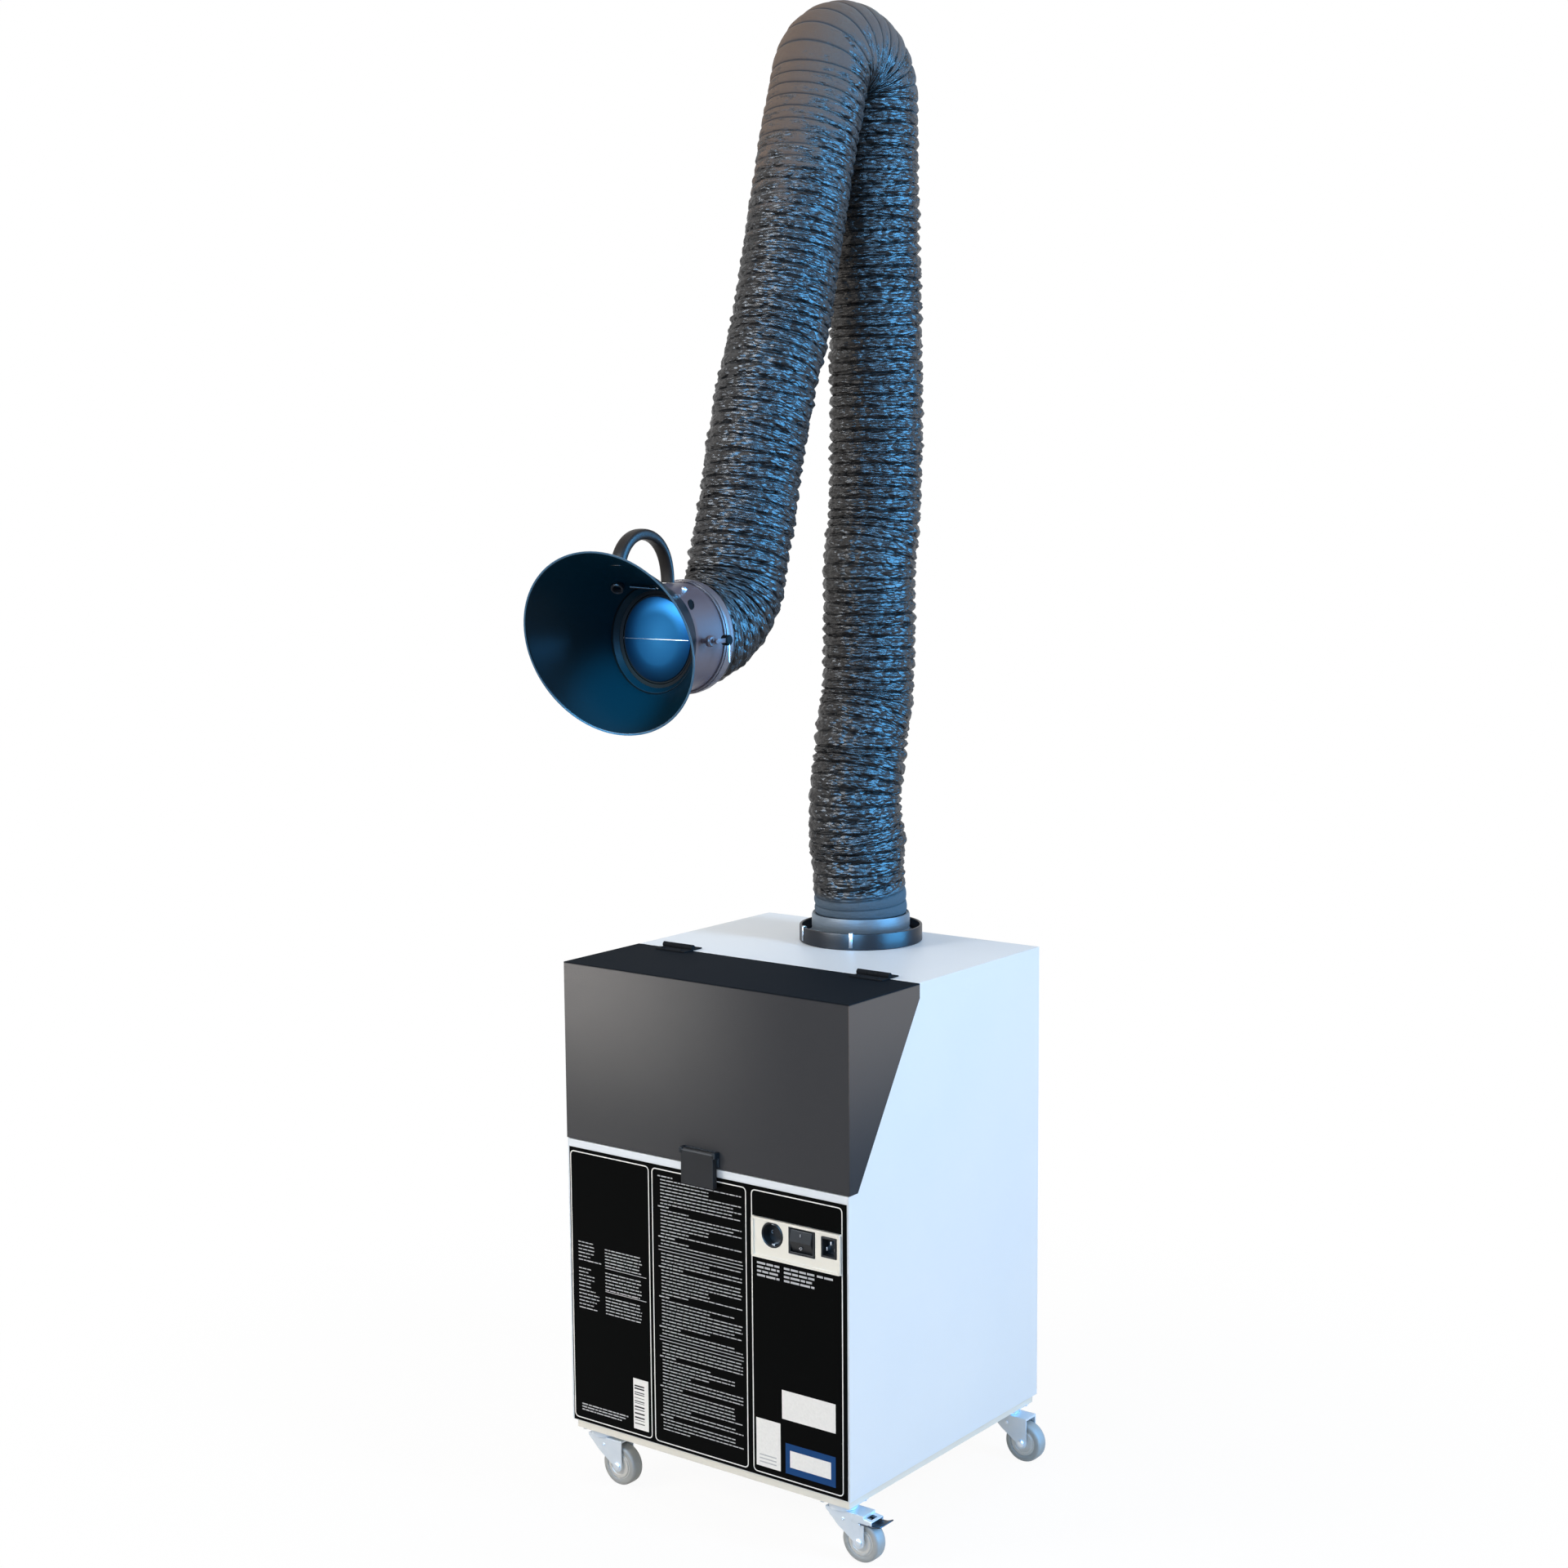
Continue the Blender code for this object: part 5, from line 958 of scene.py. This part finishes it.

# The hood
# The hood is a funnel moulded in one with its neck pipe, in glossy black plastic with painted blue light,
# and a strap handle on top. A steel throttle disc turns in the neck on a shaft, and a small lever outside
# turns it.
disc_low, disc_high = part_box("damper_disc")
neck_low, neck_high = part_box("hood_collar")
neck_z = (disc_low.z + disc_high.z) / 2
neck_radius, mouth_radius, hood_wall = 0.0855, 0.148, 0.0025
neck_back, throat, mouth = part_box("hood")[1].y, disc_high.y - 0.0107, disc_high.y - 0.1167
mouth_pitch, mouth_yaw = math.radians(17.5), math.radians(9.0)
forward = Vector((0, -1, 0))
facing = Vector((math.sin(mouth_yaw) * math.cos(mouth_pitch), -math.cos(mouth_yaw) * math.cos(mouth_pitch),
                 -math.sin(mouth_pitch)))
neck_middle, throat_middle = Vector((arm_x, neck_back, neck_z)), Vector((arm_x, throat, neck_z))
mouth_middle = Vector((arm_x, mouth, neck_z - 0.002))


def hoop(bm, centre, way, radius):
    """A ring of points square to a direction; returns its edges."""
    side = Vector((0, 0, 1)).cross(way).normalized()
    place = Matrix((side, way.cross(side), way)).transposed().to_4x4()
    place.translation = centre
    made = bmesh.ops.create_circle(bm, cap_ends=False, radius=radius, segments=96, matrix=place)
    return list({e for v in made["verts"] for e in v.link_edges})


def down_the_hood(share, change):
    """The middle, direction and radius of a ring between the throat, at 0, and the mouth, at 1."""
    radius = neck_radius + (mouth_radius - neck_radius) * share + change
    return throat_middle.lerp(mouth_middle, share), forward.lerp(facing, share).normalized(), radius


hood = bmesh.new()
rings = [hoop(hood, neck_middle, forward, neck_radius)]
rings.append(hoop(hood, throat_middle - forward * 0.008, forward, neck_radius))
for share, change in ((0.02, 0.0004), (0.06, 0.0002), (0.12, 0), (0.5, 0), (0.955, 0), (0.965, 0.0011),
                      (0.99, 0.0014), (1.003, 0.0006), (1.005, -0.0006), (1.002, -0.0022),
                      (0.985, -hood_wall), (0.5, -hood_wall), (0.12, -hood_wall),
                      (0.06, 0.0001 - hood_wall), (0.02, 0.0002 - hood_wall)):
    rings.append(hoop(hood, *down_the_hood(share, change)))
rings.append(hoop(hood, throat_middle - forward * 0.008, forward, neck_radius - hood_wall))
rings.append(hoop(hood, neck_middle, forward, neck_radius - hood_wall))
in_navy, on_neck, on_rim, in_painted_shade = range(4)
# The neck's inside is painted dead black as shade
slots = [on_neck] * 2 + [in_navy] * 4 + [on_rim] * 5 + [in_navy] * 5 + [in_painted_shade] * 2 + [on_neck]
for slot_number, here, there in zip(slots, rings, rings[1:] + rings[:1]):
    for face in bmesh.ops.bridge_loops(hood, edges=here + there)["faces"]:
        face.material_index = slot_number
bmesh.ops.recalc_face_normals(hood, faces=hood.faces)

# Inside, the funnel's deep glossy navy is painted blue light on black; outside, the neck's purplish grey is a
# painted sheen
navy_painted_blue_light = orange_peel("black_plastic_painted_blue_light", "04202F", "031824", 0.30, 2.5, 0.10, 0.05)
neck_painted_sheen = orange_peel("dusty_neck_plastic", "635D68", "504A55", 0.38, 2.2, 0.2, 0.25)
# A paler blue on the rim is a painted highlight, and the inside of the neck is painted dead black as shade
rim_painted_highlight = orange_peel("painted_rim_highlight", "356383", "27506D", 0.35, 2.0, 0.2, 0.3)
neck_painted_shade = orange_peel("painted_neck_shade", "0A0A0B", "060607", 0.7, 1.5, 0.3, 0.05)
hood = piece("funnel_hood", hood, navy_painted_blue_light, neck_painted_sheen, rim_painted_highlight, neck_painted_shade, sharp=50)
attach(hood, "hood")
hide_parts("hood")

# A rubber-lined collar clamps the hose to the hood's head, with a worm screw at its left side
collar_coat = orange_peel("grey_collar", "67636C", "55525C", 0.36, 2.2, 0.2)
eased("collar", "hood_collar", 0.0006, collar_coat)
clamp_y, clamp_radius = neck_low.y + 0.0085, (neck_high.x - neck_low.x) / 2
clamp_half = [(0.0002, 0.0045), (0.0011, 0.0045), (0.0014, 0.0030)]
clamp = turned([(clamp_radius + r, -h) for r, h in clamp_half]
               + [(clamp_radius + r, h) for r, h in reversed(clamp_half)],
               (arm_x, clamp_y, neck_z), (0, 1, 0), 96)
seat, bearing = clamp_radius + 0.004, math.radians(200)
lathe(clamp, [(0, -0.009), (0.0042, -0.009), (0.0046, -0.008), (0.0046, 0.006), (0.0036, 0.008),
              (0.0036, 0.0105), (0.0020, 0.0110), (0, 0.0110)],
      (arm_x + math.cos(bearing) * seat, clamp_y, neck_z + math.sin(bearing) * seat),
      (-math.sin(bearing), 0, math.cos(bearing)), 20)
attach(piece("worm_clamp", clamp, collar_coat), "hood_head")
# A rubber lip inside the collar's back edge closes the step down to the hose's last wire
lip_inside, lip_outside, lip_thick = 0.0730, clamp_radius - 0.0010, 0.0010
back_lip = turned([(lip_inside, 0), (lip_outside, 0), (lip_outside, lip_thick), (lip_inside, lip_thick)],
                  (arm_x, neck_high.y - 0.0016, neck_z), (0, 1, 0), 96)
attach(piece("collar_lip", back_lip, moulded("lip_rubber", "0B0B0C", 0.7, 1.0)), "hood_head")

# The handle strap is moulded in black and screwed down through the funnel and the neck
handle_low, handle_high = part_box("hood_handle")
strap_half, strap_thick = (handle_high.x - handle_low.x) / 2, 0.0085
strap_front, strap_back = handle_low.y + strap_thick / 2, handle_high.y - strap_thick / 2
strap_base, strap_rise = neck_z + neck_radius, handle_high.z - strap_thick / 2 - (neck_z + neck_radius)
upper_edge = mouth_middle + facing.cross(Vector((1, 0, 0))).normalized() * mouth_radius
funnel_slope = (upper_edge.z - strap_base) / (upper_edge.y - throat)
spots = []
for k in range(49):
    angle = math.pi * k / 48
    y = (strap_front + strap_back) / 2 + (strap_back - strap_front) / 2 * math.cos(angle)
    z = strap_base + strap_rise * math.sin(angle) ** 0.8
    if z >= strap_base + max(0, (y - throat) * funnel_slope) + 0.002:
        spots.append(Vector((arm_x, y, z)))
foot_y, toe_y = spots[0].y, spots[-1].y - 0.0002
spots.insert(0, Vector((arm_x, foot_y, strap_base + 0.0008)))
spots.append(Vector((arm_x, toe_y, strap_base + (toe_y + 0.0002 - throat) * funnel_slope + 0.0008)))
strap = bmesh.new()
sections = []
for k, spot in enumerate(spots):
    way = (spots[min(k + 1, len(spots) - 1)] - spots[max(k - 1, 0)]).normalized()
    thick = way.cross(Vector((1, 0, 0)))
    fuller = strap_thick * min(1, 2.2 * k / len(spots))
    spot = spot - thick * fuller / 2
    section = []
    for n in range(24):
        wide, deep = math.cos(math.tau * n / 24), math.sin(math.tau * n / 24)
        wide = math.copysign(abs(wide) ** 0.6, wide) * strap_half
        deep = math.copysign(abs(deep) ** 0.8, deep) * (strap_thick + fuller) / 2
        section.append(strap.verts.new(spot + Vector((wide, 0, 0)) + thick * deep))
    sections.append([strap.edges.new(pair) for pair in zip(section, section[1:] + section[:1])])
for here, there in zip(sections, sections[1:]):
    bmesh.ops.bridge_loops(strap, edges=here + there)
bmesh.ops.holes_fill(strap, edges=[e for e in strap.edges if e.is_boundary])
bmesh.ops.recalc_face_normals(strap, faces=strap.faces)
handle_plastic = moulded("moulded_handle_plastic", "282523", 0.40, 0.9, 0.2, 0.08)
strap = piece("handle_strap", strap, handle_plastic, sharp=60)
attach(strap, "hood")
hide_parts("hood_handle")

# A bolt's ring and rod inside the funnel, screws on the neck, and the dark slot that a hook can go in
inner = neck_radius - hood_wall


def on_the_wall(bearing, share, lift):
    """A spot on the funnel's inside and the way in from it; the bearing runs from the right over the top."""
    centre, way, radius = down_the_hood(share, -hood_wall) if share > 0 else (
        throat_middle + forward * share * (throat - mouth), forward, inner)
    side = Vector((0, 0, 1)).cross(way).normalized()
    out = side * math.cos(math.radians(bearing)) + way.cross(side) * math.sin(math.radians(bearing))
    return centre + out * (radius - lift), -out


ring_spot, ring_way = on_the_wall(119, 0.20, 0.0)
fittings = turned([(0.0066, 0.0005), (0.0096, 0.0005), (0.0102, 0.002), (0.0102, 0.0078), (0.0094, 0.0088),
                   (0.0072, 0.0088), (0.0066, 0.0078)], ring_spot, (ring_way + facing * 1.6).normalized(), 32)
rod_start, _ = on_the_wall(110, 0.14, 0.005)
rod = on_the_wall(88, -0.04, 0.005)[0] - rod_start
lathe(fittings, [(0, 0), (0.0019, 0), (0.0019, rod.length), (0, rod.length)], rod_start, rod, 16)
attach(piece("hood_bolt", fittings, ring_coat), "hood")
# The disc closes on a ledge that stands out from the neck's wall; its lip is painted black as shade
disc_middle = Vector((arm_x, disc_high.y, neck_z))
ledge_edge, ledge_foot = 0.0756, inner + 0.0002
ledge = turned([(0.0701, -0.0020), (0.0701, 0.0010), (ledge_edge, 0.0026), (ledge_edge, -0.0020)],
               disc_middle, forward, 96, 1)
lathe(ledge, [(ledge_edge, -0.0020), (ledge_edge, 0.0034), (inner - 0.0008, 0.0100), (ledge_foot, 0.0100),
              (ledge_foot, -0.0020)], disc_middle, forward, 96)
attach(piece("throat_ledge", ledge, navy_painted_blue_light, neck_painted_shade), "hood")


def on_the_neck(bearing, y):
    """A spot on the neck's outside and the way out from it."""
    out = Vector((math.cos(math.radians(bearing)), 0, math.sin(math.radians(bearing))))
    return Vector((arm_x, y, neck_z)) + out * neck_radius, out


studs = bmesh.new()
screw(studs, *on_the_wall(86, -0.10, 0.0), 0.0085)
for bearing in (64, 176, -60):
    screw(studs, *on_the_neck(bearing, throat + 0.031), 0.0048)
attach(piece("hood_screws", studs, zinc), "hood")

# The slot's hollow is a black disc sunk a little inside its rim: painted shade
spot, out = on_the_neck(40, throat + 0.013)
slot = turned([(0.0042, -0.001), (0.0058, -0.001), (0.0058, 0.0006), (0.0052, 0.0010), (0.0044, 0.0006)],
              spot, out, 32)
lathe(slot, [(0, -0.0010), (0.0043, -0.0010), (0.0043, 0.0002), (0, 0.0002)], spot, out, 32)
lengthen = Matrix.Scale(2.0, 4, Vector((-out.z, 0.9, out.x)).normalized())
bmesh.ops.transform(slot, verts=slot.verts,
                    matrix=Matrix.Translation(spot) @ lengthen @ Matrix.Translation(-spot))
rubber_black = moulded("black_rubber", "050506", 0.7, 1.0, shine=0.05)
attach(piece("neck_slot_painted_shade", slot, rubber_black), "hood")

# The throttle is a stamped disc with a stiffening fold across it and a rubber edge, on a turned shaft. The
# disc's steel blue is painted blue light, and its brightening towards the middle a painted reflection
disc_radius = (disc_high.x - disc_low.x) / 2
disc_painted_reflection, tree, shader = finish("zinc_painted_blue_reflection", {
    "Metallic": 1.0, "Roughness": 0.34, "Anisotropic": 0.5})
centred = add(tree, "Mapping", {
    "Location": (-arm_x, 0, -neck_z), "Vector": add(tree, "TexCoord", {})["Object"]})
flat = add(tree, "VectorMath", {0: centred[0], 1: (1, 0, 1)}, operation="MULTIPLY")
away = add(tree, "VectorMath", {0: flat[0]}, operation="LENGTH")["Value"]
share = add(tree, "Math", {0: away, 1: 1 / 0.066}, operation="MULTIPLY")
# Painted reflection: a brighter blue at the disc's middle, darker at its edge
shades = add(tree, "ValToRGB", {0: share[0]})
ramp = shades[0].node.color_ramp
ramp.elements[0].color = linear("1B4968")
ramp.elements[1].color = linear("09243A")
ramp.elements.new(0.55).color = linear("123B58")
grooves = add(tree, "Math", {0: away, 1: 900.0}, operation="MULTIPLY")
turned_lines = add(tree, "TexNoise", {
    "Scale": 1.0, "Detail": 3.0, "Vector": add(tree, "CombineXYZ", {0: grooves[0]})[0]})
bump = add(tree, "Bump", {"Strength": 0.12, "Distance": 0.0003, "Height": turned_lines["Fac"]})
plug(shader, {"Base Color": shades[0], "Normal": bump[0]})
disc = piece("throttle_disc", turned([
    (0, 0), (disc_radius - 0.001, 0), (disc_radius, 0.0004), (disc_radius, 0.0016),
    (disc_radius - 0.0008, 0.0020), (disc_radius * 0.6, 0.0024), (0, 0.0026)],
    disc_middle, forward, 96), disc_painted_reflection)
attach(disc, "damper")
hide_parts("damper_disc")
fold = turned([(0, 0.002 - disc_radius), (0.0004, 0.003 - disc_radius), (0.0005, 0),
               (0.0004, disc_radius - 0.003), (0, disc_radius - 0.002)],
              disc_middle + forward * 0.0026, (1, 0, 0), 12)
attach(piece("disc_fold", fold, zinc), "damper")
seal = turned([(disc_radius + r, h) for r, h in (
    (-0.0010, -0.0012), (0.0026, -0.0014), (0.0036, 0.0002), (0.0026, 0.0014), (-0.0010, 0.0012))],
    disc_middle - forward * 0.0012, forward, 96)
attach(piece("disc_seal", seal, rubber_black), "damper")

lever_low, lever_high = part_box("damper_lever")
shaft_y, left, right = (lever_low.y + lever_high.y) / 2, lever_low.x - arm_x, lever_high.x - arm_x
# The lever's shaft wears the neck's painted sheen
lever = piece("lever_shaft", turned([
    (0, left), (0.0036, left), (0.0040, left + 0.0005), (0.0040, right - 0.0180), (0.0088, right - 0.0175),
    (0.0090, right - 0.0125), (0.0072, right - 0.0100), (0.0040, right - 0.0095), (0.0040, right - 0.0008),
    (0.0032, right), (0, right)], (arm_x, shaft_y, neck_z), (1, 0, 0), 36), neck_painted_sheen)
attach(lever, "damper")
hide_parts("damper_lever")
# The lever is bent back along the neck to a knob, and its end hangs down from there
link_x, knob_y = lever_high.x - 0.0062, throat + 0.0480
link = bmesh.new()
block(link, (link_x, shaft_y - 0.0045, neck_z - 0.0035),
      (link_x + 0.0016, knob_y + 0.004, neck_z + 0.0035), 0.0006)
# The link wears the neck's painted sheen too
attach(piece("lever_link", link, neck_painted_sheen), "damper")
knob = turned([(0, -0.0085), (0.0078, -0.0085), (0.0082, -0.0075), (0.0082, 0.0020), (0.0066, 0.0040),
               (0.0030, 0.0046), (0, 0.0046)], (link_x, knob_y, neck_z), (1, 0, 0), 36)
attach(piece("lever_knob", knob, rubber_black), "damper")
tail = bmesh.new()
block(tail, (link_x + 0.0018, knob_y - 0.0012, neck_z - 0.0340),
      (link_x + 0.0032, knob_y + 0.0012, neck_z - 0.0060), 0.0006)
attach(piece("lever_tail", tail, zinc), "damper")
